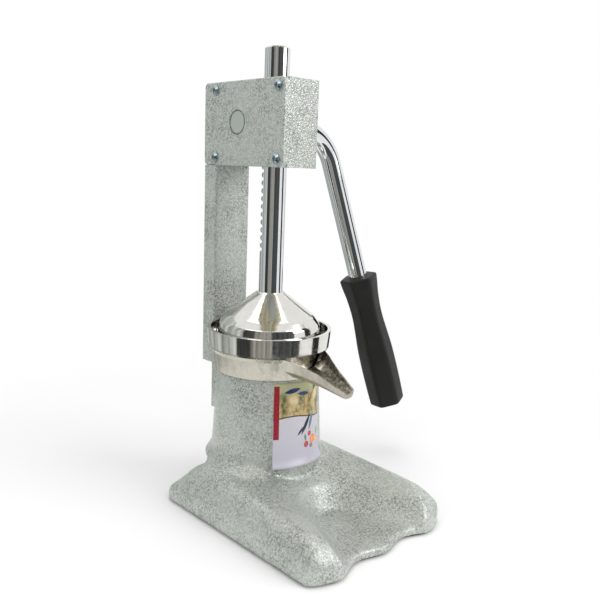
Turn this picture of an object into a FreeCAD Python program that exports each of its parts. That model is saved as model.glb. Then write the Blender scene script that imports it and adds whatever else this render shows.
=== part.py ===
# Lever citrus juice press, modelled in millimetres.
# +Z is up, the spout and tray face -Y, the lever is on +X and the gear cover on -X.
# The origin lies on the press axis, on the sole of the rubber pad that the base stands on.

import FreeCAD
import Part
import Sketcher
import math
import os

from FreeCAD import Rotation, Vector

doc = FreeCAD.newDocument("citrus_press")
sheet = doc.addObject("Spreadsheet::Sheet", "Size")

# Driving dimensions: alias, value in millimetres, degrees or a count.
SIZES = [
    ("rod_radius", 10.0),
    ("rod_top", 371.0),
    ("rod_chamfer", 1.2),
    ("rack_flat", 6.0),
    ("tooth_module", 2.0),
    ("pressure_angle", 20.0),
    ("pinion_teeth", 22),
    ("rack_spaces", 19),
    ("spaces_below_pinion", 16),
    ("mesh_backlash", 0.12),
    ("pinion_width", 23.0),
    ("shaft_height", 313.5),
    ("shaft_radius", 8.7),
    ("running_gap", 0.05),
    ("pin_radius", 2.5),
    ("head_half_width", 18.5),
    ("head_front", 30.0),
    ("head_back", 70.0),
    ("head_bottom", 279.0),
    ("head_top", 346.0),
    ("cover_thickness", 5.0),
    ("corner_radius", 4.0),
    ("edge_round", 2.2),
    ("cavity_gap", 1.0),
    ("side_gap", 0.25),
    ("screw_inset_front", 7.0),
    ("screw_inset_back", 16.0),
    ("screw_inset_top", 6.5),
    ("screw_inset_bottom", 6.5),
    ("screw_radius", 2.5),
    ("screw_length", 16.0),
    ("screw_head_radius", 4.0),
    ("screw_head_height", 2.6),
    ("screw_recess_width", 1.1),
    ("post_front", 53.0),
    ("post_bottom", 107.0),
    ("tongue_half_width", 16.0),
    ("tongue_front", 43.0),
    ("tongue_back", 58.0),
    ("tongue_bottom", 65.0),
    ("bolt_low", 75.0),
    ("bolt_pitch", 20.0),
    ("bolt_radius", 4.0),
    ("bolt_reach", 11.0),
    ("bolt_head_flats", 13.0),
    ("bolt_head_height", 5.3),
    ("washer_radius", 8.0),
    ("washer_thickness", 1.6),
    ("spring_washer_radius", 7.0),
    ("spring_washer_thickness", 2.0),
    ("spring_washer_split", 1.5),
    ("hole_gap", 0.3),
    ("bend_start", 50.0),
    ("bend_radius", 40.0),
    ("bend_angle", 75.0),
    ("lever_tilt", 8.0),
    ("arm_length", 109.0),
    ("grip_length", 132.0),
    ("grip_depth", 120.0),
    ("grip_top_radius", 16.4),
    ("grip_waist_radius", 13.8),
    ("grip_belly_radius", 18.4),
    ("grip_end_radius", 17.0),
    ("grip_turn", 12.0),
    ("bell_neck_radius", 11.5),
    ("bell_neck_top", 178.0),
    ("bell_socket_depth", 7.0),
    ("bell_wall", 3.5),
    ("bell_brow_radius", 37.0),
    ("bell_brow_height", 158.5),
    ("bell_shoulder_radius", 41.5),
    ("bell_shoulder_height", 152.5),
    ("bell_rim_radius", 43.0),
    ("bell_rim_height", 138.0),
    ("bell_rim_band", 8.0),
    ("bell_brow_round", 16.0),
    ("bell_shoulder_round", 7.0),
    ("bell_screw_radius", 4.0),
    ("bell_screw_reach", 16.0),
    ("bell_screw_flats", 13.0),
    ("ring_radius", 52.0),
    ("ring_bottom", 134.0),
    ("ring_top", 148.0),
    ("ring_wall", 3.0),
    ("ring_draft", 1.2),
    ("cup_wall", 2.2),
    ("cup_floor", 119.0),
    ("dome_radius", 31.0),
    ("dome_top", 153.0),
    ("dome_ribs", 8),
    ("rib_height", 2.0),
    ("rib_width", 2.4),
    ("slot_count", 16),
    ("slot_width", 3.2),
    ("bowl_rim_radius", 49.5),
    ("bowl_foot_radius", 45.5),
    ("bowl_wall", 3.2),
    ("bowl_bottom", 114.0),
    ("bowl_floor", 108.0),
    ("bowl_spigot", 9.0),
    ("spout_root", 34.0),
    ("spout_reach", 92.0),
    ("spout_root_half_width", 28.0),
    ("spout_tip_half_width", 6.5),
    ("spout_tip_top", 115.0),
    ("spout_tip_depth", 6.0),
    ("seat_gap", 0.3),
    ("pedestal_top_radius", 42.8),
    ("pedestal_foot_radius", 46.6),
    ("pedestal_foot", 50.0),
    ("pedestal_wall", 5.0),
    ("base_half_width", 75.5),
    ("base_back", 52.0),
    ("base_back_radius", 28.0),
    ("base_edge", 5.0),
    ("flank_front", 112.0),
    ("lobe_reach", 139.7),
    ("lobe_spread", 50.0),
    ("corner_reach", 131.5),
    ("corner_spread", 72.7),
    ("notch_reach", 132.0),
    ("notch_spread", 25.0),
    ("bump_reach", 137.5),
    ("crest_back", 37.5),
    ("crest_front", 31.5),
    ("crest_spread", 49.0),
    ("slope_start", 8.0),
    ("slope_middle", 36.0),
    ("slope_middle_height", 22.0),
    ("cove_reach", 8.0),
    ("cove_height", 46.0),
    ("nose_radius", 28.0),
    ("tray_floor", 8.0),
    ("tray_wall_height", 17.0),
    ("tray_draft", 38.5),
    ("crest_draft", 66.0),
    ("tray_back_flare", 1.1),
    ("tray_overrun", 25.0),
    ("tray_back", 72.0),
    ("tray_back_half_width", 17.0),
    ("tray_front_half_width", 44.0),
    ("casting_wall", 5.0),
    ("pad_thickness", 1.5),
    ("pad_inset", 3.0),
    ("foot_radius", 8.0),
    ("foot_recess", 5.0),
    ("foot_side_inset", 17.5),
    ("foot_front_inset", 31.7),
    ("foot_back_inset", 30.0),
    ("foot_spigot", 3.5),
]

for row, (alias, number) in enumerate(SIZES, start=1):
    sheet.set("A%d" % row, alias)
    sheet.set("B%d" % row, str(number))
    sheet.setAlias("B%d" % row, alias)
doc.recompute()


def size(expression):
    """Value of an expression written with the sheet's aliases."""
    return float(sheet.evalExpression(expression))


# Sizes that follow from the driving ones.
PITCH = "(pi * Size.tooth_module)"
PITCH_RADIUS = "(Size.tooth_module * Size.pinion_teeth / 2)"
SHAFT_Y = "(Size.rack_flat - Size.tooth_module + %s)" % PITCH_RADIUS
COVER_SEAM = "(Size.head_half_width - Size.cover_thickness)"
SHAFT_BORE = "(Size.shaft_radius + Size.running_gap)"
ROD_BORE = "(Size.rod_radius + Size.running_gap)"
LOWEST_SPACE = "(Size.shaft_height - Size.spaces_below_pinion * %s)" % PITCH
ROD_BOTTOM = "(Size.bell_neck_top - Size.bell_socket_depth)"


# Helpers for sketches and features.


def origin_plane(body, role):
    """The body's own origin plane or axis that has this role."""
    for feature in body.Origin.OriginFeatures:
        if feature.Role == role:
            return feature
    raise ValueError(role)


def new_body(label):
    body = doc.addObject("PartDesign::Body", label)
    body.Label = label
    return body


def new_sketch(body, role, name, offset="0"):
    """Sketch on an origin plane of the body, moved along the plane's normal."""
    sketch = body.newObject("Sketcher::SketchObject", name)
    sketch.AttachmentSupport = (origin_plane(body, role), [""])
    sketch.MapMode = "FlatFace"
    sketch.setExpression("AttachmentOffset.Base.z", offset)
    return sketch


def pin_point(sketch, geometry, point, place, tag):
    """Hold one point of the sketch at a pair of bound coordinates."""
    x, y = place
    for kind, axis, expression in (("DistanceX", -2, x), ("DistanceY", -1, y)):
        number = size(expression)
        if abs(number) < 1e-9:
            sketch.addConstraint(Sketcher.Constraint("PointOnObject", geometry, point, axis))
            continue
        index = sketch.addConstraint(Sketcher.Constraint(kind, -1, 1, geometry, point, number))
        name = "%s_%s" % (tag, kind[-1])
        sketch.renameConstraint(index, name)
        sketch.setExpression("Constraints.%s" % name, expression)


def draw_polygon(sketch, corners):
    """Closed outline of straight sides whose corners are pairs of expressions."""
    places = [Vector(size(x), size(y), 0) for x, y in corners]
    first = sketch.GeometryCount
    count = len(places)
    for k in range(count):
        sketch.addGeometry(Part.LineSegment(places[k], places[(k + 1) % count]), False)
    for k in range(count):
        following = first + (k + 1) % count
        sketch.addConstraint(Sketcher.Constraint("Coincident", first + k, 2, following, 1))
    for k, corner in enumerate(corners):
        pin_point(sketch, first + k, 1, corner, "corner%d" % (first + k))


def draw_circle(sketch, centre, radius):
    """Circle whose centre and radius are expressions."""
    place = Vector(size(centre[0]), size(centre[1]), 0)
    circle = sketch.addGeometry(Part.Circle(place, Vector(0, 0, 1), size(radius)), False)
    pin_point(sketch, circle, 3, centre, "centre%d" % circle)
    index = sketch.addConstraint(Sketcher.Constraint("Radius", circle, size(radius)))
    sketch.renameConstraint(index, "radius%d" % circle)
    sketch.setExpression("Constraints.radius%d" % circle, radius)


def add_pad(body, sketch, name, length, midplane=False, reverse=False):
    pad = body.newObject("PartDesign::Pad", name)
    pad.Profile = sketch
    pad.setExpression("Length", length)
    pad.Midplane = midplane
    pad.Reversed = reverse
    return pad


def add_pocket(body, sketch, name, length, midplane=False, reverse=False):
    """Cut whose depth is an expression; it must take something away."""
    before = body.Shape.Volume if not body.Shape.isNull() else 0
    pocket = body.newObject("PartDesign::Pocket", name)
    pocket.Profile = sketch
    pocket.setExpression("Length", length)
    pocket.Midplane = midplane
    pocket.Reversed = reverse
    doc.recompute()
    if body.Shape.Volume >= before:
        raise RuntimeError("%s cuts nothing" % name)
    return pocket


def add_revolution(body, sketch, name):
    turned = body.newObject("PartDesign::Revolution", name)
    turned.Profile = sketch
    turned.ReferenceAxis = (sketch, ["V_Axis"])
    turned.Angle = 360
    return turned


def edges_where(shape, test):
    """Names of the edges whose middle point and direction pass a test."""
    names = []
    for index, edge in enumerate(shape.Edges, start=1):
        middle = edge.valueAt((edge.FirstParameter + edge.LastParameter) / 2)
        direction = edge.tangentAt((edge.FirstParameter + edge.LastParameter) / 2)
        if test(middle, direction, edge):
            names.append("Edge%d" % index)
    return names


def add_fillet(body, name, radius, test):
    doc.recompute()
    base = body.Tip
    names = edges_where(base.Shape, test)
    if not names:
        raise RuntimeError("%s finds no edge" % name)
    fillet = body.newObject("PartDesign::Fillet", name)
    fillet.Base = (base, names)
    fillet.setExpression("Radius", radius)
    return fillet


def solid_feature(label, shape):
    """Sub-part whose shape is worked out from the sheet in the code."""
    feature = doc.addObject("Part::Feature", label)
    feature.Label = label
    feature.Shape = shape
    feature.Placement = FreeCAD.Placement()
    return feature


def along(a, b, share):
    return a + (b - a) * share


# Base casting: two ridges and a tray in front of a hollow pedestal.


def plan_outline(inset):
    """Outline of the base seen from above, wider than its straight flanks by a margin."""
    margin = 5.0
    half = size("Size.base_half_width") - inset + margin
    back = size("Size.base_back") - inset
    corner = size("Size.base_back_radius") - inset + margin
    front = -size("Size.flank_front")
    corner_y = -size("Size.corner_reach") + inset
    corner_x = size("Size.corner_spread") - inset
    lobe = -size("Size.lobe_reach") + inset
    spread = size("Size.lobe_spread")
    notch = -size("Size.notch_reach") + inset
    notch_spread = size("Size.notch_spread")
    bump = -size("Size.bump_reach") + inset
    middle = corner * math.sqrt(0.5)
    right = [
        Vector(half, front, 0),
        Vector(along(corner_x, half, 0.62), along(corner_y, front, 0.43), 0),
        Vector(corner_x, corner_y, 0),
        Vector(along(spread, corner_x, 0.5), along(lobe, corner_y, 0.3), 0),
        Vector(spread, lobe, 0),
        Vector(along(notch_spread, spread, 0.6), along(notch, lobe, 0.55), 0),
        Vector(notch_spread, notch, 0),
        Vector(notch_spread * 0.5, along(notch, bump, 0.45), 0),
        Vector(0, bump, 0),
    ]
    left = [Vector(-point.x, point.y, 0) for point in reversed(right[:-1])]
    scallops = Part.BSplineCurve()
    scallops.interpolate(Points=right + left)
    edges = [scallops.toShape()]
    edges.append(straight(-half, front, -half, back - corner))
    edges.append(Part.Arc(Vector(-half, back - corner, 0),
                          Vector(-half + corner - middle, back - corner + middle, 0),
                          Vector(-half + corner, back, 0)).toShape())
    edges.append(straight(-half + corner, back, half - corner, back))
    edges.append(Part.Arc(Vector(half - corner, back, 0),
                          Vector(half - corner + middle, back - corner + middle, 0),
                          Vector(half, back - corner, 0)).toShape())
    edges.append(straight(half, back - corner, half, front))
    return Part.Wire(edges)


def straight(x1, y1, x2, y2, height=0.0):
    return Part.LineSegment(Vector(x1, y1, height), Vector(x2, y2, height)).toShape()


def flank_prism():
    """Body along the base with upright edges, quarter ellipses up to the crests and a flat top."""
    half = size("Size.base_half_width")
    edge = size("Size.base_edge")
    crest = size("Size.crest_back")
    spread = size("Size.crest_spread")
    back = size("Size.base_back")
    quarter = [math.radians(angle) for angle in (0, 30, 60, 90)]
    points = [Vector(spread + (half - spread) * math.cos(a), back, edge + (crest - edge) * math.sin(a))
              for a in quarter]
    arc = Part.BSplineCurve()
    arc.interpolate(Points=points, InitialTangent=Vector(0, 0, 1), FinalTangent=Vector(-1, 0, 0))
    mirror = [Vector(-point.x, point.y, point.z) for point in reversed(points)]
    other = Part.BSplineCurve()
    other.interpolate(Points=mirror, InitialTangent=Vector(-1, 0, 0), FinalTangent=Vector(0, 0, -1))
    corners = (Vector(-half, back, 0), Vector(half, back, 0))
    section = Part.Wire([
        Part.LineSegment(corners[0], corners[1]).toShape(),
        Part.LineSegment(corners[1], points[0]).toShape(),
        arc.toShape(),
        Part.LineSegment(points[-1], mirror[0]).toShape(),
        other.toShape(),
        Part.LineSegment(mirror[-1], corners[0]).toShape(),
    ])
    return Part.Face(section).extrude(Vector(0, -back - size("Size.lobe_reach"), 0))


def side_points(inset):
    """Crest line seen from the side, from the back edge to the start of the nose, as Y and Z."""
    back = size("Size.base_back") - inset
    nose = -size("Size.lobe_reach") + size("Size.nose_radius")
    return [
        Vector(0, back, size("Size.base_edge")),
        Vector(0, size("Size.slope_middle"), size("Size.slope_middle_height") - inset),
        Vector(0, size("Size.slope_start"), size("Size.crest_back") - inset),
        Vector(0, nose, size("Size.crest_front") - inset),
    ]


def mound():
    """The base without its tray: flanks, back slope and rounded nose."""
    edge = size("Size.base_edge")
    tip = -size("Size.lobe_reach")
    back_edge, middle, crest, nose = side_points(0)
    bend = math.sqrt(0.5)
    fall = nose.z - edge / 2
    slope = Part.BSplineCurve()
    slope.interpolate(Points=[back_edge, middle, crest])
    side = Part.Wire([
        slope.toShape(),
        Part.LineSegment(crest, nose).toShape(),
        Part.Arc(nose, Vector(0, nose.y + (tip - nose.y) * bend, nose.z - fall * (1 - bend)),
                 Vector(0, tip, nose.z - fall)).toShape(),
        Part.LineSegment(Vector(0, tip, nose.z - fall), Vector(0, tip, 0)).toShape(),
        Part.LineSegment(Vector(0, tip, 0), Vector(0, back_edge.y, 0)).toShape(),
        Part.LineSegment(Vector(0, back_edge.y, 0), back_edge).toShape(),
    ])
    width = 3 * size("Size.base_half_width")
    profile = Part.Face(side).extrude(Vector(width, 0, 0))
    profile.translate(Vector(-width / 2, 0, 0))
    plan = Part.Face(plan_outline(0)).extrude(Vector(0, 0, 2 * size("Size.crest_back")))
    return flank_prism().common(profile).common(plan)


def hollow_under():
    """Room under the base, open at the bottom, a wall's thickness inside it and clear of the nose."""
    wall = size("Size.casting_wall")
    half = size("Size.base_half_width") - wall
    spread = size("Size.crest_spread")
    top = size("Size.crest_back") - wall
    edge = size("Size.base_edge")
    back = size("Size.base_back") - wall
    stop = -size("Size.lobe_reach") + size("Size.nose_radius") - wall
    section = Part.makePolygon([
        Vector(-half, back, 0), Vector(half, back, 0), Vector(half, back, edge),
        Vector(along(spread, half, 0.66), back, along(edge, top, 0.62)), Vector(spread, back, top),
        Vector(-spread, back, top), Vector(-along(spread, half, 0.66), back, along(edge, top, 0.62)),
        Vector(-half, back, edge), Vector(-half, back, 0),
    ])
    room = Part.Face(section).extrude(Vector(0, stop - back, 0))
    points = side_points(wall)
    points[-1] = Vector(0, stop, points[-1].z)
    side = Part.makePolygon(points + [Vector(0, stop, 0), Vector(0, back, 0), points[0]])
    width = 3 * size("Size.base_half_width")
    profile = Part.Face(side).extrude(Vector(width, 0, 0))
    profile.translate(Vector(-width / 2, 0, 0))
    return room.common(profile)


def tray_outline(height, grow):
    """Horseshoe outline of the tray at a height, open to the front."""
    back = -size("Size.tray_back") + grow
    half_back = size("Size.tray_back_half_width") + grow * size("Size.tray_back_flare")
    half_front = size("Size.tray_front_half_width") + grow
    front = -size("Size.lobe_reach + Size.tray_overrun")
    mouth = along(half_back, half_front, 1.35)
    shoulder = back - half_back * 0.62
    arc = Part.Arc(Vector(half_back, shoulder, height), Vector(0, back, height), Vector(-half_back, shoulder, height))
    return Part.Wire([
        arc.toShape(),
        Part.LineSegment(Vector(-half_back, shoulder, height), Vector(-mouth, front, height)).toShape(),
        Part.LineSegment(Vector(-mouth, front, height), Vector(mouth, front, height)).toShape(),
        Part.LineSegment(Vector(mouth, front, height), Vector(half_back, shoulder, height)).toShape(),
    ])


def tray_cutter(wall):
    """Drafted hollow of the tray, or the room that it and a wall take."""
    floor = size("Size.tray_floor") - wall
    lift = size("Size.tray_wall_height")
    grow = lift * math.tan(math.radians(size("Size.tray_draft")))
    rise = size("Size.crest_back")
    spread = grow + rise * math.tan(math.radians(size("Size.crest_draft")))
    outlines = [tray_outline(floor, wall), tray_outline(floor + lift, wall + grow),
                tray_outline(floor + lift + rise, wall + spread)]
    return Part.makeLoft(outlines, True, True)


def base_and_pedestal():
    """One casting, kept as two solids that meet at the pedestal's foot."""
    wall = size("Size.casting_wall")
    top = size("Size.bowl_bottom")
    foot = size("Size.pedestal_foot")
    foot_radius = size("Size.pedestal_foot_radius")
    top_radius = size("Size.pedestal_top_radius")
    taper = (foot_radius - top_radius) / (top - foot)
    low = 2 * size("Size.base_edge")
    low_radius = foot_radius + taper * (foot - low)
    cove = size("Size.cove_height")
    cove_foot = size("Size.crest_back")
    cove_radius = foot_radius + taper * (foot - cove)
    flare = Part.makeCone(cove_radius + size("Size.cove_reach"), cove_radius, cove - cove_foot + 1,
                          Vector(0, 0, cove_foot - 1))
    shell = mound().fuse(flare).cut(tray_cutter(0))
    pedestal = Part.makeCone(low_radius, top_radius, top - low, Vector(0, 0, low))
    body = shell.fuse(pedestal).removeSplitter()
    hollow = hollow_under().cut(tray_cutter(wall))
    bore_wall = size("Size.pedestal_wall")
    bore = Part.makeCone(low_radius - bore_wall, top_radius - bore_wall, top - low, Vector(0, 0, low))
    tongue = size("Size.tongue_half_width")
    tongue_front = size("Size.tongue_front")
    boss_front = tongue_front - size("Size.bolt_reach") - 2
    boss_high = top - size("Size.bowl_spigot") - 1
    boss = Part.makeBox(2 * tongue, size("Size.tongue_back"), boss_high - foot, Vector(-tongue, boss_front, foot))
    hollow = hollow.fuse(bore).cut(boss)
    for x, y in foot_places():
        pillar = Part.makeCylinder(size("Size.foot_radius") + wall, foot, Vector(x, y, -1))
        hollow = hollow.cut(pillar)
    body = body.cut(hollow)
    seat = Part.makeBox(4 * tongue, size("Size.tongue_back"), top,
                        Vector(-2 * tongue, tongue_front, size("Size.tongue_bottom") - 1))
    body = body.cut(seat)
    for height in bolt_heights():
        hole = Part.makeCylinder(size("Size.bolt_radius"), size("Size.bolt_reach") + 1,
                                 Vector(0, tongue_front + 1, height), Vector(0, -1, 0))
        body = body.cut(hole)
    for x, y in foot_places():
        recess = Part.makeCylinder(size("Size.foot_radius") + size("Size.running_gap"),
                                   size("Size.foot_recess"), Vector(x, y, 0))
        spigot = Part.makeCylinder(size("Size.foot_spigot") + size("Size.running_gap"),
                                   size("2 * Size.foot_recess"), Vector(x, y, 0))
        body = body.cut(recess).cut(spigot)
    reach = 4 * size("Size.base_half_width")
    corner = Vector(-reach / 2, -reach / 2, size("Size.pad_thickness"))
    below = Part.makeBox(reach, reach, foot - corner.z, corner)
    above = Part.makeBox(reach, reach, top, Vector(corner.x, corner.y, foot))
    solid_feature("base_casting", body.common(below))
    solid_feature("pedestal_casting", body.common(above))


def base_pad():
    """Rubber sheet under the whole base, a little inside its outline, that the four plugs hold on."""
    inset = size("Size.pad_inset")
    thickness = size("Size.pad_thickness")
    half = size("Size.base_half_width") - inset
    reach = 2 * size("Size.lobe_reach")
    strip = Part.makeBox(2 * half, 2 * reach, thickness, Vector(-half, -reach, 0))
    sheet_shape = Part.Face(plan_outline(inset)).extrude(Vector(0, 0, thickness))
    pad = sheet_shape.common(strip).removeSplitter()
    for x, y in foot_places():
        pad = pad.cut(Part.makeCylinder(size("Size.foot_radius + Size.seat_gap"), thickness, Vector(x, y, 0)))
    solid_feature("base_pad", pad)


def foot_places():
    spread = size("Size.base_half_width - Size.foot_side_inset")
    front = -size("Size.lobe_reach - Size.foot_front_inset")
    back = size("Size.base_back - Size.foot_back_inset")
    return [(-spread, front), (spread, front), (-spread, back), (spread, back)]


def bolt_heights():
    low = size("Size.bolt_low")
    return [low, low + size("Size.bolt_pitch")]


def rubber_feet():
    names = ("foot_front_left", "foot_front_right", "foot_rear_left", "foot_rear_right")
    for name, (x, y) in zip(names, foot_places()):
        pad = Part.makeCylinder(size("Size.foot_radius"), size("Size.foot_recess"), Vector(x, y, 0))
        stem = Part.makeCylinder(size("Size.foot_spigot"), size("2 * Size.foot_recess") - 0.5, Vector(x, y, 0))
        solid_feature(name, pad.fuse(stem).removeSplitter())


# Upright casting: tongue, post and gear housing in one piece.


def upright_casting():
    body = new_body("upright_casting")
    profile = new_sketch(body, "YZ_Plane", "UprightProfile")
    draw_polygon(profile, [
        ("Size.post_front", "Size.post_bottom"),
        ("Size.head_back", "Size.post_bottom"),
        ("Size.head_back", "Size.head_top"),
        ("-Size.head_front", "Size.head_top"),
        ("-Size.head_front", "Size.head_bottom"),
        ("Size.post_front", "Size.head_bottom"),
    ])
    add_pad(body, profile, "UprightPad", "2 * Size.head_half_width", midplane=True)
    tongue = new_sketch(body, "YZ_Plane", "TongueProfile")
    draw_polygon(tongue, [
        ("Size.tongue_front", "Size.tongue_bottom"),
        ("Size.tongue_back", "Size.tongue_bottom"),
        ("Size.tongue_back", "Size.post_bottom + 2"),
        ("Size.post_front", "Size.post_bottom + 2"),
        ("Size.post_front", "Size.post_bottom"),
        ("Size.tongue_front", "Size.post_bottom"),
    ])
    add_pad(body, tongue, "TonguePad", "2 * Size.tongue_half_width", midplane=True)
    half = size("Size.head_half_width")
    bottom = size("Size.head_bottom")
    low = size("Size.post_bottom")

    def post_edges(middle, direction, edge):
        upright = abs(direction.z) > 0.99
        return upright and abs(abs(middle.x) - half) < 0.01 and middle.z > low

    add_fillet(body, "PostRounding", "Size.edge_round", post_edges)
    recess = new_sketch(body, "YZ_Plane", "CoverRecess", "-Size.head_half_width")
    draw_polygon(recess, [
        ("-Size.head_front - 1", "Size.head_bottom"),
        ("Size.head_back + 1", "Size.head_bottom"),
        ("Size.head_back + 1", "Size.head_top + 1"),
        ("-Size.head_front - 1", "Size.head_top + 1"),
    ])
    add_pocket(body, recess, "CoverSeat", "Size.cover_thickness", reverse=True)
    cavity = new_sketch(body, "YZ_Plane", "GearCavity", "-%s" % COVER_SEAM)
    outside = "(%s + Size.tooth_module + Size.cavity_gap)" % PITCH_RADIUS
    draw_circle(cavity, (SHAFT_Y, "Size.shaft_height"), outside)
    add_pocket(body, cavity, "GearRoom", "Size.pinion_width + 2 * Size.side_gap", reverse=True)
    bore = new_sketch(body, "YZ_Plane", "ShaftBore", "0")
    draw_circle(bore, (SHAFT_Y, "Size.shaft_height"), SHAFT_BORE)
    add_pocket(body, bore, "ShaftHole", "Size.head_half_width + 1", reverse=True)
    rod = new_sketch(body, "XY_Plane", "RodBore", "Size.head_bottom - 1")
    draw_circle(rod, ("0", "0"), ROD_BORE)
    add_pocket(body, rod, "RodHole", "Size.head_top - Size.head_bottom + 2", reverse=True)
    taps = new_sketch(body, "YZ_Plane", "CoverTaps", "-%s" % COVER_SEAM)
    for place in screw_places():
        draw_circle(taps, place, "Size.screw_radius")
    add_pocket(body, taps, "CoverTapHoles", "Size.screw_length - Size.cover_thickness + 1", reverse=True)
    bolts = new_sketch(body, "XZ_Plane", "BoltHoles", "-Size.tongue_back - 1")
    for height in ("Size.bolt_low", "Size.bolt_low + Size.bolt_pitch"):
        draw_circle(bolts, ("0", height), "Size.bolt_radius + Size.hole_gap")
    add_pocket(body, bolts, "TongueHoles", "Size.tongue_back - Size.tongue_front + 2", reverse=True)
    return body


def screw_places():
    """Centres of the cover screws as pairs of expressions in Y and Z."""
    front = "(Size.screw_inset_front - Size.head_front)"
    back = "(Size.head_back - Size.screw_inset_back)"
    low = "(Size.head_bottom + Size.screw_inset_bottom)"
    high = "(Size.head_top - Size.screw_inset_top)"
    return [(front, low), (back, low), (front, high), (back, high)]


def gear_cover():
    body = new_body("gear_cover")
    plate = new_sketch(body, "YZ_Plane", "PlateOutline", "-%s" % COVER_SEAM)
    draw_polygon(plate, [
        ("-Size.head_front", "Size.head_bottom"),
        ("Size.head_back", "Size.head_bottom"),
        ("Size.head_back", "Size.head_top"),
        ("-Size.head_front", "Size.head_top"),
    ])
    add_pad(body, plate, "Plate", "Size.cover_thickness", reverse=True)
    outer = -size("Size.head_half_width")

    def corner_edges(middle, direction, edge):
        return abs(direction.x) > 0.99

    add_fillet(body, "PlateCorners", "Size.corner_radius", corner_edges)

    def rim_edges(middle, direction, edge):
        return abs(middle.x - outer) < 0.01

    add_fillet(body, "PlateRim", "Size.edge_round / 2", rim_edges)
    holes = new_sketch(body, "YZ_Plane", "PlateHoles", "-Size.head_half_width - 1")
    draw_circle(holes, (SHAFT_Y, "Size.shaft_height"), SHAFT_BORE)
    for place in screw_places():
        draw_circle(holes, place, "Size.screw_radius + Size.hole_gap")
    add_pocket(body, holes, "PlateBores", "Size.cover_thickness + 2", reverse=True)
    return body


def cover_screws():
    """Four pan-head screws with a crossed recess, as separate solids of one group."""
    radius = size("Size.screw_radius")
    head = size("Size.screw_head_radius")
    height = size("Size.screw_head_height")
    cut = size("Size.screw_recess_width")
    face = -size("Size.head_half_width")
    screws = []
    for y, z in screw_places():
        place = Vector(face, size(y), size(z))
        shank = Part.makeCylinder(radius, size("Size.screw_length"), place, Vector(1, 0, 0))
        rim = Part.makeCylinder(head, height / 2, place, Vector(-1, 0, 0))
        crown = Part.makeCone(head, head / 2, height / 2, place - Vector(height / 2, 0, 0), Vector(-1, 0, 0))
        recess = Part.makeBox(height, head, cut, place + Vector(-1.5 * height, -head / 2, -cut / 2))
        crossing = Part.makeBox(height, cut, head, place + Vector(-1.5 * height, -cut / 2, -head / 2))
        screws.append(shank.fuse(rim).fuse(crown).removeSplitter().cut(recess).cut(crossing))
    return solid_feature("cover_screws", Part.makeCompound(screws))


# Pinion, its cross pin and the rack rod.


def involute_point(base_radius, radius, turn):
    """Point of an involute at a radius, turned about the gear's axis."""
    roll = math.sqrt(max((radius / base_radius) ** 2 - 1, 0))
    angle = roll - math.atan(roll) + turn
    return Vector(0, radius * math.cos(angle), radius * math.sin(angle))


def gear_face():
    """Flat outline of the pinion about the X axis, with a tooth pointing at -Y."""
    teeth = int(size("Size.pinion_teeth"))
    module = size("Size.tooth_module")
    pressure = math.radians(size("Size.pressure_angle"))
    pitch_radius = module * teeth / 2
    base_radius = pitch_radius * math.cos(pressure)
    outer = pitch_radius + module
    root = pitch_radius - 1.25 * module
    roll = math.tan(pressure) - pressure
    half_tooth = math.pi / (2 * teeth) + roll
    step = 2 * math.pi / teeth
    start = max(base_radius, root)
    edges = []
    last_root = None
    first_root = None
    for k in range(teeth):
        middle = math.pi + k * step
        rise = [involute_point(base_radius, along(start, outer, share), 0) for share in (0.0, 0.5, 1.0)]
        low_side = [turn_about_x(point, middle - half_tooth) for point in rise]
        mirrored = [Vector(0, point.y, -point.z) for point in rise]
        high_side = [turn_about_x(point, middle + half_tooth) for point in reversed(mirrored)]
        low_foot = low_side[0] * (root / start)
        high_foot = high_side[-1] * (root / start)
        if last_root is not None:
            edges.append(root_arc(last_root, low_foot, root))
        else:
            first_root = low_foot
        edges.append(Part.LineSegment(low_foot, low_side[0]).toShape())
        edges.append(Part.Arc(*low_side).toShape())
        tip = Vector(0, outer * math.cos(middle), outer * math.sin(middle))
        edges.append(Part.Arc(low_side[-1], tip, high_side[0]).toShape())
        edges.append(Part.Arc(*high_side).toShape())
        edges.append(Part.LineSegment(high_side[-1], high_foot).toShape())
        last_root = high_foot
    edges.append(root_arc(last_root, first_root, root))
    return Part.Face(Part.Wire(edges))


def turn_about_x(point, angle):
    return Rotation(Vector(1, 0, 0), math.degrees(angle)).multVec(point)


def root_arc(start, end, root):
    middle = (start + end) * 0.5
    middle = middle * (root / middle.Length)
    return Part.Arc(start, middle, end).toShape()


def pinion_place():
    return Vector(-size(COVER_SEAM) + size("Size.side_gap"), size(SHAFT_Y), size("Size.shaft_height"))


def pin_shape(radius, half_length):
    """Cross pin through the pinion, along Y turned by half a tooth."""
    centre = pinion_place() + Vector(size("Size.pinion_width") / 2, 0, 0)
    turn = math.pi / size("Size.pinion_teeth")
    axis = Vector(0, math.cos(turn), math.sin(turn))
    return Part.makeCylinder(radius, 2 * half_length, centre - axis * half_length, axis)


def pinion_gear():
    width = size("Size.pinion_width")
    gear = gear_face().extrude(Vector(width, 0, 0))
    gear.translate(pinion_place())
    bore = Part.makeCylinder(size("Size.shaft_radius"), width, pinion_place(), Vector(1, 0, 0))
    pin = pin_shape(size("Size.pin_radius"), size("2 * %s" % PITCH_RADIUS))
    return solid_feature("pinion_gear", gear.cut(bore).cut(pin))


def pinion_pin():
    root = size(PITCH_RADIUS) - 1.25 * size("Size.tooth_module")
    return solid_feature("pinion_pin", pin_shape(size("Size.pin_radius"), root - size("Size.side_gap")))


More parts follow.
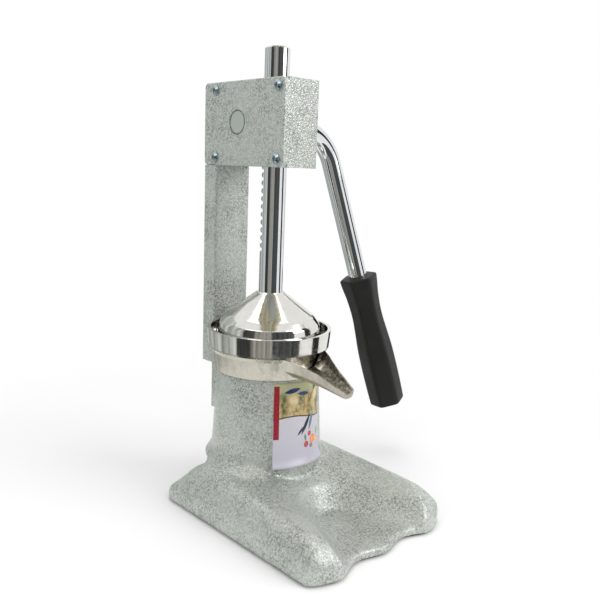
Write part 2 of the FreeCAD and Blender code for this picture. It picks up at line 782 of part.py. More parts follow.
def rack_rod():
    body = new_body("rack_rod")
    section = new_sketch(body, "XY_Plane", "RodSection", ROD_BOTTOM)
    draw_circle(section, ("0", "0"), "Size.rod_radius")
    add_pad(body, section, "Rod", "Size.rod_top - %s" % ROD_BOTTOM)
    top = size("Size.rod_top")

    def top_edge(middle, direction, edge):
        return abs(middle.z - top) < 0.01

    doc.recompute()
    chamfer = body.newObject("PartDesign::Chamfer", "RodTopChamfer")
    base = doc.getObject("Rod")
    chamfer.Base = (base, edges_where(base.Shape, top_edge))
    chamfer.setExpression("Size", "Size.rod_chamfer")
    doc.recompute()
    flat = new_sketch(body, "YZ_Plane", "RackFlat")
    low_end = "(%s - %s)" % (LOWEST_SPACE, PITCH)
    high_end = "(%s + Size.rack_spaces * %s)" % (LOWEST_SPACE, PITCH)
    beyond = "(2 * Size.rod_radius)"
    draw_polygon(flat, [
        ("Size.rack_flat", low_end),
        (beyond, low_end),
        (beyond, high_end),
        ("Size.rack_flat", high_end),
    ])
    add_pocket(body, flat, "RackFlatCut", "3 * Size.rod_radius", midplane=True)
    space = new_sketch(body, "YZ_Plane", "ToothSpace")
    flank = "tan(Size.pressure_angle)"
    outer_y = "(Size.rack_flat + 1)"
    root_y = "(Size.rack_flat - 2.25 * Size.tooth_module)"
    pitch_half = "(%s / 4 + Size.mesh_backlash)" % PITCH
    outer_half = "(%s + (1 + Size.tooth_module) * %s)" % (pitch_half, flank)
    root_half = "(%s - 1.25 * Size.tooth_module * %s)" % (pitch_half, flank)
    draw_polygon(space, [
        (root_y, "%s - %s" % (LOWEST_SPACE, root_half)),
        (outer_y, "%s - %s" % (LOWEST_SPACE, outer_half)),
        (outer_y, "%s + %s" % (LOWEST_SPACE, outer_half)),
        (root_y, "%s + %s" % (LOWEST_SPACE, root_half)),
    ])
    cut = add_pocket(body, space, "RackSpace", "3 * Size.rod_radius", midplane=True)
    rows = body.newObject("PartDesign::LinearPattern", "RackTeeth")
    rows.Originals = [cut]
    rows.Direction = (origin_plane(body, "Z_Axis"), [""])
    rows.setExpression("Length", "(Size.rack_spaces - 1) * %s" % PITCH)
    rows.setExpression("Occurrences", "Size.rack_spaces")
    body.Tip = rows
    doc.recompute()
    tap = new_sketch(body, "XY_Plane", "BellTap", ROD_BOTTOM)
    draw_circle(tap, ("0", "0"), "Size.bell_screw_radius")
    add_pocket(body, tap, "BellTapHole", "Size.bell_screw_reach + 2", reverse=True)
    return body


# Press bell with its screw and washer.


def press_bell():
    body = new_body("press_bell")
    profile = new_sketch(body, "XZ_Plane", "BellProfile")
    wall = "Size.bell_wall"
    hole = "(Size.bell_screw_radius + Size.hole_gap)"
    draw_polygon(profile, [
        ("Size.bell_neck_radius", "Size.bell_neck_top"),
        ("Size.bell_neck_radius + 1", "Size.bell_neck_top - 1"),
        ("Size.bell_brow_radius", "Size.bell_brow_height"),
        ("Size.bell_shoulder_radius", "Size.bell_shoulder_height"),
        ("Size.bell_rim_radius", "Size.bell_rim_height + Size.bell_rim_band"),
        ("Size.bell_rim_radius", "Size.bell_rim_height"),
        ("Size.bell_rim_radius - %s" % wall, "Size.bell_rim_height"),
        ("Size.bell_rim_radius - %s" % wall, "Size.bell_rim_height + Size.bell_rim_band"),
        ("Size.bell_brow_radius - %s" % wall, "Size.bell_brow_height - %s" % wall),
        ("1.2 * Size.bell_neck_radius", "%s - 3 * %s / 2" % (ROD_BOTTOM, wall)),
        (hole, "%s - 3 * %s / 2" % (ROD_BOTTOM, wall)),
        (hole, ROD_BOTTOM),
        (ROD_BORE, ROD_BOTTOM),
        (ROD_BORE, "Size.bell_neck_top"),
    ])
    add_revolution(body, profile, "BellTurned")
    brow = size("Size.bell_brow_height")
    shoulder = size("Size.bell_shoulder_height")
    outside = size("Size.bell_brow_radius")

    def brow_edges(middle, direction, edge):
        radius = math.hypot(middle.x, middle.y)
        return abs(middle.z - brow) < 0.01 and radius > outside - 1

    add_fillet(body, "BrowRounding", "Size.bell_brow_round", brow_edges)

    def shoulder_edges(middle, direction, edge):
        radius = math.hypot(middle.x, middle.y)
        return abs(middle.z - shoulder) < 0.01 and radius > outside

    add_fillet(body, "ShoulderRounding", "Size.bell_shoulder_round", shoulder_edges)
    return body


def hexagon_prism(flats, height, place, axis):
    """Hexagonal bolt head that starts at a place and grows along an axis."""
    radius = flats / math.sqrt(3)
    corners = [Vector(radius * math.cos(math.radians(60 * k)), radius * math.sin(math.radians(60 * k)), 0)
               for k in range(7)]
    head = Part.Face(Part.makePolygon(corners)).extrude(Vector(0, 0, height))
    head.Placement = FreeCAD.Placement(place, Rotation(Vector(0, 0, 1), axis))
    return head


def washer(outer, inner, thickness, place, axis):
    disc = Part.makeCylinder(outer, thickness, place, axis)
    return disc.cut(Part.makeCylinder(inner, thickness, place, axis))


def bell_fixing():
    face = size("%s - 3 * Size.bell_wall / 2" % ROD_BOTTOM)
    thickness = size("Size.washer_thickness")
    radius = size("Size.bell_screw_radius")
    down = Vector(0, 0, -1)
    ring = washer(size("2 * Size.bell_screw_radius"), radius + size("Size.hole_gap"), thickness,
                  Vector(0, 0, face), down)
    solid_feature("bell_washer", ring)
    seat = face - thickness
    length = size(ROD_BOTTOM) + size("Size.bell_screw_reach") - seat
    shank = Part.makeCylinder(radius, length, Vector(0, 0, seat))
    head = hexagon_prism(size("Size.bell_screw_flats"), 4.0, Vector(0, 0, seat), down)
    solid_feature("bell_screw", shank.fuse(head).removeSplitter())


# Strainer cup: polished collar, slotted floor and ribbed dome.


def strainer_cup():
    body = new_body("strainer_cup")
    profile = new_sketch(body, "XZ_Plane", "StrainerProfile")
    wall = "Size.cup_wall"
    cup = "(Size.bowl_rim_radius - Size.bowl_wall - 2 * Size.seat_gap - 2)"
    base = "(Size.bowl_foot_radius - Size.bowl_wall - 2 * Size.seat_gap)"
    ring_inside = "(Size.ring_radius - Size.ring_wall)"
    draw_polygon(profile, [
        ("0", "Size.dome_top"),
        ("Size.dome_radius * 0.36", "Size.dome_top - 2"),
        ("Size.dome_radius * 0.68", "Size.dome_top - 8"),
        ("Size.dome_radius * 0.9", "Size.dome_top - 18"),
        ("Size.dome_radius", "Size.cup_floor + %s" % wall),
        ("%s - %s" % (base, wall), "Size.cup_floor + %s" % wall),
        ("%s - %s" % (cup, wall), "Size.ring_bottom + %s" % wall),
        ("%s - Size.ring_draft" % ring_inside, "Size.ring_bottom + %s" % wall),
        (ring_inside, "Size.ring_top"),
        ("Size.ring_radius", "Size.ring_top"),
        ("Size.ring_radius - Size.ring_draft", "Size.ring_bottom"),
        (cup, "Size.ring_bottom"),
        (base, "Size.cup_floor"),
        ("Size.dome_radius - %s" % wall, "Size.cup_floor"),
        ("Size.dome_radius * 0.9 - %s" % wall, "Size.dome_top - 18 - %s / 2" % wall),
        ("Size.dome_radius * 0.68 - %s" % wall, "Size.dome_top - 8 - %s" % wall),
        ("Size.dome_radius * 0.36", "Size.dome_top - 2 - 1.2 * %s" % wall),
        ("0", "Size.dome_top - 1.2 * %s" % wall),
    ])
    add_revolution(body, profile, "StrainerTurned")
    doc.recompute()
    rib = new_sketch(body, "XZ_Plane", "RibProfile")
    draw_polygon(rib, [
        ("Size.dome_radius * 0.36", "Size.dome_top - 2.5"),
        ("Size.dome_radius * 0.36", "Size.dome_top - 2"),
        ("Size.dome_radius * 0.68 + Size.rib_height", "Size.dome_top - 8"),
        ("Size.dome_radius * 0.9 + Size.rib_height", "Size.dome_top - 18"),
        ("Size.dome_radius + Size.rib_height", "Size.cup_floor + %s" % wall),
        ("Size.dome_radius - 1", "Size.cup_floor + %s / 2" % wall),
        ("Size.dome_radius * 0.9 - 1", "Size.dome_top - 18"),
        ("Size.dome_radius * 0.68 - 1", "Size.dome_top - 9"),
    ])
    pad = add_pad(body, rib, "DomeRib", "Size.rib_width", midplane=True)
    doc.recompute()
    ribs = body.newObject("PartDesign::PolarPattern", "DomeRibs")
    ribs.Originals = [pad]
    ribs.Axis = (origin_plane(body, "Z_Axis"), [""])
    ribs.Angle = 360
    ribs.setExpression("Occurrences", "Size.dome_ribs")
    body.Tip = ribs
    doc.recompute()
    slot = new_sketch(body, "XY_Plane", "JuiceSlot", "Size.cup_floor - 1")
    draw_polygon(slot, [
        ("Size.dome_radius + Size.rib_height", "-Size.slot_width / 2"),
        ("%s - 1.5 * %s" % (base, wall), "-Size.slot_width / 2"),
        ("%s - 1.5 * %s" % (base, wall), "Size.slot_width / 2"),
        ("Size.dome_radius + Size.rib_height", "Size.slot_width / 2"),
    ])
    half_step = size("180 / Size.slot_count")
    slot.AttachmentOffset = FreeCAD.Placement(slot.AttachmentOffset.Base, Rotation(Vector(0, 0, 1), half_step))
    slot.setExpression("AttachmentOffset.Rotation.Angle", "180 / Size.slot_count")
    cut = add_pocket(body, slot, "JuiceSlotCut", "Size.cup_wall + 2", reverse=True)
    slots = body.newObject("PartDesign::PolarPattern", "JuiceSlots")
    slots.Originals = [cut]
    slots.Axis = (origin_plane(body, "Z_Axis"), [""])
    slots.Angle = 360
    slots.setExpression("Occurrences", "Size.slot_count")
    body.Tip = slots
    return body


# Spout bowl: turned cup with a drawn-out pouring lip.


def spout_section(place, half_width, top, depth, shrink):
    """Open-topped channel section: flared lips and a rounded keel."""
    half = half_width - shrink
    bottom = top - depth + shrink
    side = [
        Vector(half, place, top),
        Vector(half * 0.86, place, along(bottom, top, 0.42)),
        Vector(half * 0.58, place, along(bottom, top, 0.10)),
        Vector(half * 0.22, place, bottom),
    ]
    if shrink:
        side.insert(0, Vector(half, place, top + depth))
    rows = side + [Vector(-point.x, point.y, point.z) for point in reversed(side)]
    return Part.makePolygon(rows + [rows[0]])


def spout_channel(shrink):
    """Pouring lip from the bowl's rim to its tip, or the channel inside it."""
    root = -size("Size.spout_root")
    tip = -size("Size.spout_reach")
    rim = size("Size.ring_bottom") - 0.5
    low = size("Size.bowl_bottom") + 2
    narrow = size("Size.spout_tip_half_width")
    wide = size("Size.spout_root_half_width")
    tip_top = size("Size.spout_tip_top")
    tip_depth = size("Size.spout_tip_depth")
    start = root - 2 * shrink
    end = tip - 2 * shrink
    shares = ((0.0, 0.0, 0.0, 0.0), (0.30, 0.38, 0.14, 0.10), (0.60, 0.74, 0.46, 0.44), (1.0, 1.0, 1.0, 1.0))
    sections = [spout_section(along(start, end, reach), along(wide, narrow, taper), along(rim, tip_top, fall),
                              along(rim - low, tip_depth, thin), shrink)
                for reach, taper, fall, thin in shares]
    return Part.makeLoft(sections, True, True)


def spout_bowl():
    rim = size("Size.bowl_rim_radius")
    foot = size("Size.bowl_foot_radius")
    wall = size("Size.bowl_wall")
    top = size("Size.ring_bottom")
    bottom = size("Size.bowl_bottom")
    floor = size("Size.bowl_floor")
    spigot = size("Size.bowl_spigot")
    mouth = size("Size.pedestal_top_radius - Size.pedestal_wall - Size.seat_gap")
    outer = [
        Vector(0, 0, bottom - spigot),
        Vector(mouth, 0, bottom - spigot),
        Vector(mouth, 0, bottom),
        Vector(foot, 0, bottom),
        Vector(rim - 1.5, 0, top - 5),
        Vector(rim, 0, top - 2),
        Vector(rim, 0, top),
        Vector(0, 0, top),
    ]
    inner = [
        Vector(0, 0, floor),
        Vector(mouth - wall, 0, floor + 1),
        Vector(mouth - wall, 0, bottom + 1),
        Vector(foot - wall, 0, bottom + 4),
        Vector(rim - 1.5 - wall, 0, top - 5),
        Vector(rim - wall, 0, top + 1),
        Vector(0, 0, top + 1),
    ]
    cup = turned(outer)
    room = turned(inner)
    spout = spout_channel(0)
    channel = spout_channel(wall * 0.8)
    body = cup.fuse(spout).cut(room).cut(channel).removeSplitter()
    return solid_feature("spout_bowl", body)


def turned(points):
    face = Part.Face(Part.makePolygon(points + [points[0]]))
    return face.revolve(Vector(0, 0, 0), Vector(0, 0, 1), 360)


# Lever: one bent bar that is the pinion shaft at one end and carries the grip at the other.


def lever_frame():
    """Placement of the lever's own axes: X along the shaft, -Z down the arm's plane."""
    place = Vector(0, size(SHAFT_Y), size("Size.shaft_height"))
    return FreeCAD.Placement(place, Rotation(Vector(1, 0, 0), -size("Size.lever_tilt")))


def lever_path():
    """Corner points of the path: shaft end, bend start and end, bar end, and the arm's direction."""
    start = size("Size.bend_start")
    radius = size("Size.bend_radius")
    angle = math.radians(size("Size.bend_angle"))
    bend_end = Vector(start + radius * math.sin(angle), 0, -radius * (1 - math.cos(angle)))
    arm = Vector(math.cos(angle), 0, -math.sin(angle))
    return start, radius, angle, bend_end, arm


def lever_bar():
    body = new_body("lever_bar")
    body.Placement = lever_frame()
    start, radius, angle, bend_end, arm = lever_path()
    shaft_end = -size("Size.head_half_width") + size("Size.side_gap")
    length = size("Size.arm_length + Size.grip_depth")
    bar_end = bend_end + arm * length
    path = new_sketch(body, "XZ_Plane", "LeverPath")
    path.addGeometry(Part.LineSegment(Vector(shaft_end, 0, 0), Vector(start, 0, 0)), False)
    middle = Vector(start + radius * math.sin(angle / 2), -radius * (1 - math.cos(angle / 2)), 0)
    path.addGeometry(Part.Arc(Vector(start, 0, 0), middle, Vector(bend_end.x, bend_end.z, 0)), False)
    path.addGeometry(Part.LineSegment(Vector(bend_end.x, bend_end.z, 0), Vector(bar_end.x, bar_end.z, 0)), False)
    section = new_sketch(body, "YZ_Plane", "LeverSection", "Size.side_gap - Size.head_half_width")
    draw_circle(section, ("0", "0"), "Size.shaft_radius")
    pipe = body.newObject("PartDesign::AdditivePipe", "LeverSweep")
    pipe.Profile = section
    pipe.Spine = path
    doc.recompute()
    hole = new_sketch(body, "XY_Plane", "PinHole")
    centre = "(-%s + Size.side_gap + Size.pinion_width / 2)" % COVER_SEAM
    draw_circle(hole, (centre, "0"), "Size.pin_radius")
    turn = size("90 - 180 / Size.pinion_teeth - Size.lever_tilt")
    hole.AttachmentOffset = FreeCAD.Placement(Vector(0, 0, 0), Rotation(Vector(1, 0, 0), -turn))
    add_pocket(body, hole, "PinHoleCut", "3 * Size.shaft_radius", midplane=True)
    return body


def hexagon_wire(place, radius, arm, side):
    """Hexagon square to the arm's direction."""
    up = arm.cross(side)
    turn = size("Size.grip_turn")
    corners = []
    for k in range(7):
        angle = math.radians(60 * k + turn)
        corners.append(place + side * (radius * math.cos(angle)) + up * (radius * math.sin(angle)))
    return Part.makePolygon(corners)


def lever_grip():
    start, radius, angle, bend_end, arm = lever_path()
    side = Vector(0, 1, 0)
    head = bend_end + arm * size("Size.arm_length")
    length = size("Size.grip_length")
    stations = [
        (0.0, size("Size.grip_top_radius")),
        (0.24, size("Size.grip_waist_radius")),
        (0.58, size("Size.grip_belly_radius")),
        (1.0, size("Size.grip_end_radius")),
    ]
    wires = [hexagon_wire(head + arm * (length * share), reach, arm, side) for share, reach in stations]
    grip = Part.makeLoft(wires, True, False)
    socket = Part.makeCylinder(size("Size.shaft_radius"), size("Size.grip_depth"), head, arm)
    grip = grip.cut(socket)
    feature = solid_feature("lever_grip", grip)
    feature.Placement = lever_frame()
    return feature


# Bolts and washers that hold the tongue on the pedestal's flat.


def frame_fasteners():
    back = size("Size.tongue_back")
    plain = size("Size.washer_thickness")
    spring = size("Size.spring_washer_thickness")
    radius = size("Size.bolt_radius")
    axis = Vector(0, 1, 0)
    bolts = []
    washers = []
    springs = []
    for height in bolt_heights():
        face = Vector(0, back, height)
        washers.append(washer(size("Size.washer_radius"), radius + size("Size.hole_gap"), plain, face, axis))
        split = washer(size("Size.spring_washer_radius"), radius + size("Size.hole_gap"), spring,
                       face + axis * plain, axis)
        split_width = size("Size.spring_washer_split")
        gap = Part.makeBox(split_width, spring, 2 * size("Size.spring_washer_radius"),
                           Vector(-split_width / 2, back + plain, height))
        springs.append(split.cut(gap))
        under = face + axis * (plain + spring)
        shank_length = under.y - size("Size.tongue_front") + size("Size.bolt_reach") - 1
        shank = Part.makeCylinder(radius, shank_length, under, Vector(0, -1, 0))
        head = hexagon_prism(size("Size.bolt_head_flats"), size("Size.bolt_head_height"), under, axis)
        bolts.append(shank.fuse(head).removeSplitter())
    solid_feature("frame_washers", Part.makeCompound(washers))
    solid_feature("frame_spring_washers", Part.makeCompound(springs))
    solid_feature("frame_bolts", Part.makeCompound(bolts))


def build():
    base_and_pedestal()
    base_pad()
    rubber_feet()
    upright_casting()
    gear_cover()
    cover_screws()
    frame_fasteners()
    spout_bowl()
    strainer_cup()
    rack_rod()
    press_bell()
    bell_fixing()
    pinion_gear()
    pinion_pin()
    lever_bar()
    lever_grip()
    doc.recompute()


def sub_parts():
    """Bodies and features that are pieces of the press."""
    kinds = ("PartDesign::Body", "Part::Feature")
    return [item for item in doc.Objects if item.TypeId in kinds and item.Label == item.Label.lower()]


def check_document():
    for item in doc.Objects:
        if "Invalid" in item.State or "Error" in item.State:
            raise RuntimeError("%s failed: %s" % (item.Name, item.State))
    for item in sub_parts():
        if item.Shape.isNull() or not item.Shape.isValid():
            raise RuntimeError("%s has a bad shape" % item.Label)


def export_parts():
    os.makedirs("parts", exist_ok=True)
    for item in sub_parts():
        item.Shape.exportStep("parts/%s.step" % item.Label)
        box = item.Shape.BoundBox
        print("%-22s solids %d  volume %9.0f  x %7.1f %7.1f  y %7.1f %7.1f  z %6.1f %6.1f" % (
            item.Label, len(item.Shape.Solids), item.Shape.Volume,
            box.XMin, box.XMax, box.YMin, box.YMax, box.ZMin, box.ZMax))


build()
check_document()
export_parts()
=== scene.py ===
"""Finishes, label and studio of a lever citrus juice press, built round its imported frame."""

import math

import bmesh
import bpy
import numpy as np
from mathutils import Matrix, Vector


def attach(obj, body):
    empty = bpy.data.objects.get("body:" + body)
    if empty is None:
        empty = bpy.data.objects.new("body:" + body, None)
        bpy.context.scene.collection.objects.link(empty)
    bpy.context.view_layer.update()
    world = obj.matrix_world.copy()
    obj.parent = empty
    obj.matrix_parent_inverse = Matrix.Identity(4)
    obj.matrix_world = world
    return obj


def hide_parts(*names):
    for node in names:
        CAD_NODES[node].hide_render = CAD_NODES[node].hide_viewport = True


bl_info = {
    "name": "Lever citrus press finishes",
    "version": (1, 0, 0),
    "blender": (4, 5, 0),
    "location": "3D View > Sidebar > Citrus press",
    "description": "Gives each piece of the press its finish, adds the paper label and sets up the studio",
    "category": "Object",
}

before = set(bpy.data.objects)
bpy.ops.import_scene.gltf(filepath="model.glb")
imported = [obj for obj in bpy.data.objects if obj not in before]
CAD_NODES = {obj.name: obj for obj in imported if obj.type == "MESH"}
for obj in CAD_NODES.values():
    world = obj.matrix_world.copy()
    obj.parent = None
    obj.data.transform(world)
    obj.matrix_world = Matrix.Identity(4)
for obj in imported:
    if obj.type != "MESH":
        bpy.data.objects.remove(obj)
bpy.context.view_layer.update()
SAME_PLACE = 1e-6

# The pedestal's cone and cove as radii and heights, and the base's outline, in metres of the shared frame.
PEDESTAL_TOP = (0.0428, 0.114)
PEDESTAL_FOOT = (0.0466, 0.050)
COVE_TOP = 0.046
COVE_SLOPE = 0.9
COVE_SOFTNESS = 0.0016
BASE_HALF_WIDTH = 0.0755
BASE_REAR = 0.052
BASE_FRONT = -0.1397
SOLE = 0.0015

# Soft skin of the base. A ramp is a start, a reach and, where given, a least share; a band is a middle
# and a breadth. The corners' ramp counts in ellipses through the base's ends.
SKIN_SQUARE = 0.0014
SKIN_ROUNDS = 48
LEAST_SHARE = 0.12
SOLE_RAMP = (0.002, 0.006)
PEDESTAL_RAMP = (0.085, -0.02, 0.15)
FLANK_RAMP = (0.050, 0.012)
FLANK_TOP_RAMP = (0.052, -0.01)
REAR_RAMP = (-0.03, 0.02)
COVE_BAND = (0.046, 0.009)
REAR_START = 0.006
FRONT_START = -0.104
CORNER_RAMP = (0.78, 0.42)
REAR_DROP = 0.34
FRONT_DROP = 0.12

# Walls that close the rim's rear corners: degrees of sweep, insets from the corner's radius, foot and head.
CORNER_RADIUS = 0.028
WALL_SWEEP = (6.0, 84.0)
WALL_INSETS = (0.0004, 0.0055)
WALL_FOOT = 0.0004
WALL_HEAD = (0.0044, 0.005)

# Grip: the ends of its axis, one corner's direction, the edge's radius, and half widths along the axis.
GRIP_TOP = (0.11678, 0.00722, 0.17986)
GRIP_END = (0.15101, -0.01052, 0.05362)
GRIP_CORNER = (0.917, 0.338, 0.201)
GRIP_EDGE = 0.0018
GRIP_PROFILE = ((0.0, 0.0178), (0.04, 0.0179), (0.10, 0.0162), (0.20, 0.0148), (0.31, 0.0143), (0.44, 0.0156),
                (0.56, 0.0169), (0.70, 0.0173), (0.86, 0.0172), (1.0, 0.0167))
GRIP_STEPS = 81
GRIP_SOFTNESS = 4
GRIP_POWER = 18.0

# Shaft's end and axis, the radius of the shade painted in the joint round it, and the outer face of the gear cover.
SHAFT_END_X = -0.0178
SHAFT_AXIS = (0.026, 0.3135)
SHAFT_SHADE_RADIUS = 0.0094
COVER_FACE_X = -0.0182

# Outer skin of the spout: half width, top and depth of its section at four places along Y.
SPOUT_PLACES = (-0.034, -0.0514, -0.0688, -0.092)
SPOUT_HALF_WIDTHS = (0.028, 0.01983, 0.01209, 0.0065)
SPOUT_TOPS = (0.1335, 0.13091, 0.12499, 0.115)
SPOUT_DEPTHS = (0.0175, 0.01635, 0.01244, 0.006)
SPOUT_SIDE = ((0.22, 0.58, 0.86, 1.0), (0.0, 0.10, 0.42, 1.0))
SPOUT_RISE = (0.0004, 0.0012)
SPOUT_START = (-0.052, -0.047)
SPOUT_END = (-0.0919, -0.0915)

# Camera fitted to the photograph, in metres, degrees and pixels.
CAMERA_PLACE = (-0.378355, -0.427813, 0.278617)
CAMERA_YAW = 43.973
CAMERA_PITCH = 10.667
CAMERA_ROLL = -2.212
CAMERA_FOCAL_PIXELS = 696.395
PHOTO_PIXELS = 600
SENSOR_WIDTH = 36.0

# Label: leaves as place, angle, length, breadth and colour; fruit as place, radius, rind and flesh.
PAPER = 0.00018
LABEL_LEAVES = (
    ((0.34, 0.90), 8.0, 0.0085, 0.0021, (34, 46, 96)),
    ((0.56, 0.85), -6.0, 0.0070, 0.0018, (40, 58, 110)),
    ((0.88, 0.92), 60.0, 0.0060, 0.0028, (70, 84, 44)),
    ((0.62, 0.47), 56.0, 0.0105, 0.0019, (30, 36, 58)),
    ((0.74, 0.49), 68.0, 0.0085, 0.0018, (86, 124, 134)),
    ((0.50, 0.40), 44.0, 0.0050, 0.0012, (36, 44, 66)),
    ((0.60, 0.305), 100.0, 0.0035, 0.0012, (96, 128, 66)),
    ((0.92, 0.34), 70.0, 0.0040, 0.0013, (120, 146, 82)),
)
LABEL_FRUIT = (
    ((0.70, 0.34), 0.0021, (176, 26, 56), (206, 60, 84)),
    ((0.78, 0.26), 0.0034, (222, 104, 34), (244, 164, 88)),
    ((0.62, 0.22), 0.0026, (150, 30, 52), (196, 76, 88)),
    ((0.88, 0.24), 0.0024, (236, 150, 58), (248, 196, 120)),
    ((0.74, 0.185), 0.0019, (120, 74, 40), (184, 130, 84)),
)

# Studio: lamps as name, place, side and power; cards as azimuths and colour.
MIDDLE = (0.0, -0.03, 0.18)
LAMPS = (
    ("Front lamp", (0.75, -1.5, 1.1), 1.2, 16.0),
    ("Side lamp", (-1.6, -0.2, 0.9), 1.2, 6.0),
    ("Top lamp", (0.0, 0.1, 1.9), 1.4, 12.0),
)
FLOOR_HALF = 4.0
FLOOR_FADE = (0.16, 0.5)
ROOM_LIGHT = 0.62
CARD_PROFILE = ((0.27, 0.003), (0.66, 0.004), (0.66, 0.62))
HIGH_CARD = (0.20, 0.75, 0.85)
HIGH_CARD_TONE = (0.42, 0.38, 0.27, 1.0)
CARDS = (
    ((-175.0, -56.0), (0.48, 0.50, 0.48, 1.0)),
    ((-56.0, -29.0), (0.045, 0.047, 0.045, 1.0)),
    ((-29.0, 8.0), (0.34, 0.33, 0.30, 1.0)),
    ((8.0, 58.0), (0.075, 0.08, 0.08, 1.0)),
    ((86.0, 104.0), (0.03, 0.03, 0.03, 1.0)),
)


# Node trees.


def plug(tree, socket, value):
    """Link another node's socket to an input, or give it a constant."""
    if isinstance(value, bpy.types.NodeSocket):
        tree.links.new(value, socket)
    else:
        socket.default_value = value


def add_node(tree, kind, settings=None, **values):
    """Add a node; a value is a constant for the input of that name, or a socket to link to it.

    An underscore in a name stands for a space, and a trailing number picks an input by its place.
    """
    node = tree.nodes.new(kind)
    for key, value in (settings or {}).items():
        setattr(node, key, value)
    for key, value in values.items():
        name = key.replace("_", " ").strip()
        by_place = name.startswith("at") and name[2:].isdigit()
        plug(tree, node.inputs[int(name[2:]) if by_place else name], value)
    return node


def compute(tree, operation, first, second=0.0, clamp=False):
    """Result of a Math node."""
    node = add_node(tree, "ShaderNodeMath", {"operation": operation, "use_clamp": clamp}, at0=first, at1=second)
    return node.outputs[0]


def remap(tree, value, low, high, to_low=0.0, to_high=1.0, smooth=True):
    """Value carried from one range to another, and held at the ends."""
    kind = "SMOOTHSTEP" if smooth else "LINEAR"
    node = add_node(tree, "ShaderNodeMapRange", {"interpolation_type": kind}, Value=value,
                    From_Min=low, From_Max=high, To_Min=to_low, To_Max=to_high)
    return node.outputs["Result"]


def broken_line(tree, value, places, levels):
    """Level at a value: linear between the places and held past the ends, as a sum of clamped pieces."""
    total = levels[0]
    for low, high, start, end in zip(places, places[1:], levels, levels[1:]):
        total = compute(tree, "ADD", total, remap(tree, value, low, high, 0.0, end - start, smooth=False))
    return total


def blend_colours(tree, share, first, second):
    """Mix of two colours."""
    node = tree.nodes.new("ShaderNodeMix")
    node.data_type = "RGBA"
    sockets = (node.inputs["Factor"], node.inputs[6], node.inputs[7])
    for socket, value in zip(sockets, (share, first, second)):
        plug(tree, socket, value)
    return node.outputs[2]


def new_group(name, inputs, outputs):
    """Empty shader node group with float or vector sockets, and its two end nodes."""
    tree = bpy.data.node_groups.new(name, "ShaderNodeTree")
    for title, kind, default in inputs:
        socket = tree.interface.new_socket(title, in_out="INPUT", socket_type="NodeSocket" + kind)
        if default is not None:
            socket.default_value = default
    for title, kind in outputs:
        tree.interface.new_socket(title, in_out="OUTPUT", socket_type="NodeSocket" + kind)
    return tree, tree.nodes.new("NodeGroupInput"), tree.nodes.new("NodeGroupOutput")


def hammer_group():
    """Hammered enamel: small swollen cells, and dark squiggles where the flakes sink between them."""
    name = "Hammer cells"
    if name in bpy.data.node_groups:
        return bpy.data.node_groups[name]
    tree, start, end = new_group(
        name,
        [("Vector", "Vector", None), ("Cells", "Float", 620.0), ("Swirl", "Float", 0.0011)],
        [("Bulge", "Float"), ("Veins", "Float"), ("Net", "Float")],
    )
    swirl = add_node(tree, "ShaderNodeTexNoise", Vector=start.outputs["Vector"], Scale=520.0, Detail=2.0)
    centred = add_node(tree, "ShaderNodeVectorMath", {"operation": "SUBTRACT"},
                       at0=swirl.outputs["Color"], at1=(0.5, 0.5, 0.5))
    pushed = add_node(tree, "ShaderNodeVectorMath", {"operation": "SCALE"}, at0=centred.outputs[0])
    tree.links.new(start.outputs["Swirl"], pushed.inputs["Scale"])
    place = add_node(tree, "ShaderNodeVectorMath", {"operation": "ADD"},
                     at0=start.outputs["Vector"], at1=pushed.outputs[0])
    cells = add_node(tree, "ShaderNodeTexVoronoi", {"feature": "SMOOTH_F1"},
                     Vector=place.outputs[0], Scale=start.outputs["Cells"], Smoothness=0.25)
    marks = add_node(tree, "ShaderNodeTexNoise", Vector=place.outputs[0], Scale=start.outputs["Cells"],
                     Detail=1.5, Roughness=0.5, Distortion=0.8)
    edges = add_node(tree, "ShaderNodeTexVoronoi", {"feature": "DISTANCE_TO_EDGE"},
                     Vector=place.outputs[0], Scale=start.outputs["Cells"])
    bulge = remap(tree, cells.outputs["Distance"], 0.1, 0.75, 1.0, 0.0)
    veins = remap(tree, marks.outputs["Fac"], 0.40, 0.53, 1.0, 0.0)
    net = remap(tree, edges.outputs["Distance"], 0.02, 0.16, 1.0, 0.0)
    tree.links.new(bulge, end.inputs["Bulge"])
    tree.links.new(veins, end.inputs["Veins"])
    tree.links.new(net, end.inputs["Net"])
    return tree


def blotch_group():
    """Soft uneven patches, from one broad and one finer noise."""
    name = "Soft blotches"
    if name in bpy.data.node_groups:
        return bpy.data.node_groups[name]
    tree, start, end = new_group(name, [("Vector", "Vector", None), ("Scale", "Float", 30.0)], [("Mask", "Float")])
    broad = add_node(tree, "ShaderNodeTexNoise", Vector=start.outputs["Vector"], Scale=start.outputs["Scale"],
                     Detail=4.0, Roughness=0.55)
    finer = compute(tree, "MULTIPLY", start.outputs["Scale"], 6.0)
    small = add_node(tree, "ShaderNodeTexNoise", Vector=start.outputs["Vector"], Scale=finer, Detail=2.0)
    total = compute(tree, "ADD", compute(tree, "MULTIPLY", broad.outputs["Fac"], 0.7),
                    compute(tree, "MULTIPLY", small.outputs["Fac"], 0.3))
    tree.links.new(remap(tree, total, 0.35, 0.65), end.inputs["Mask"])
    return tree


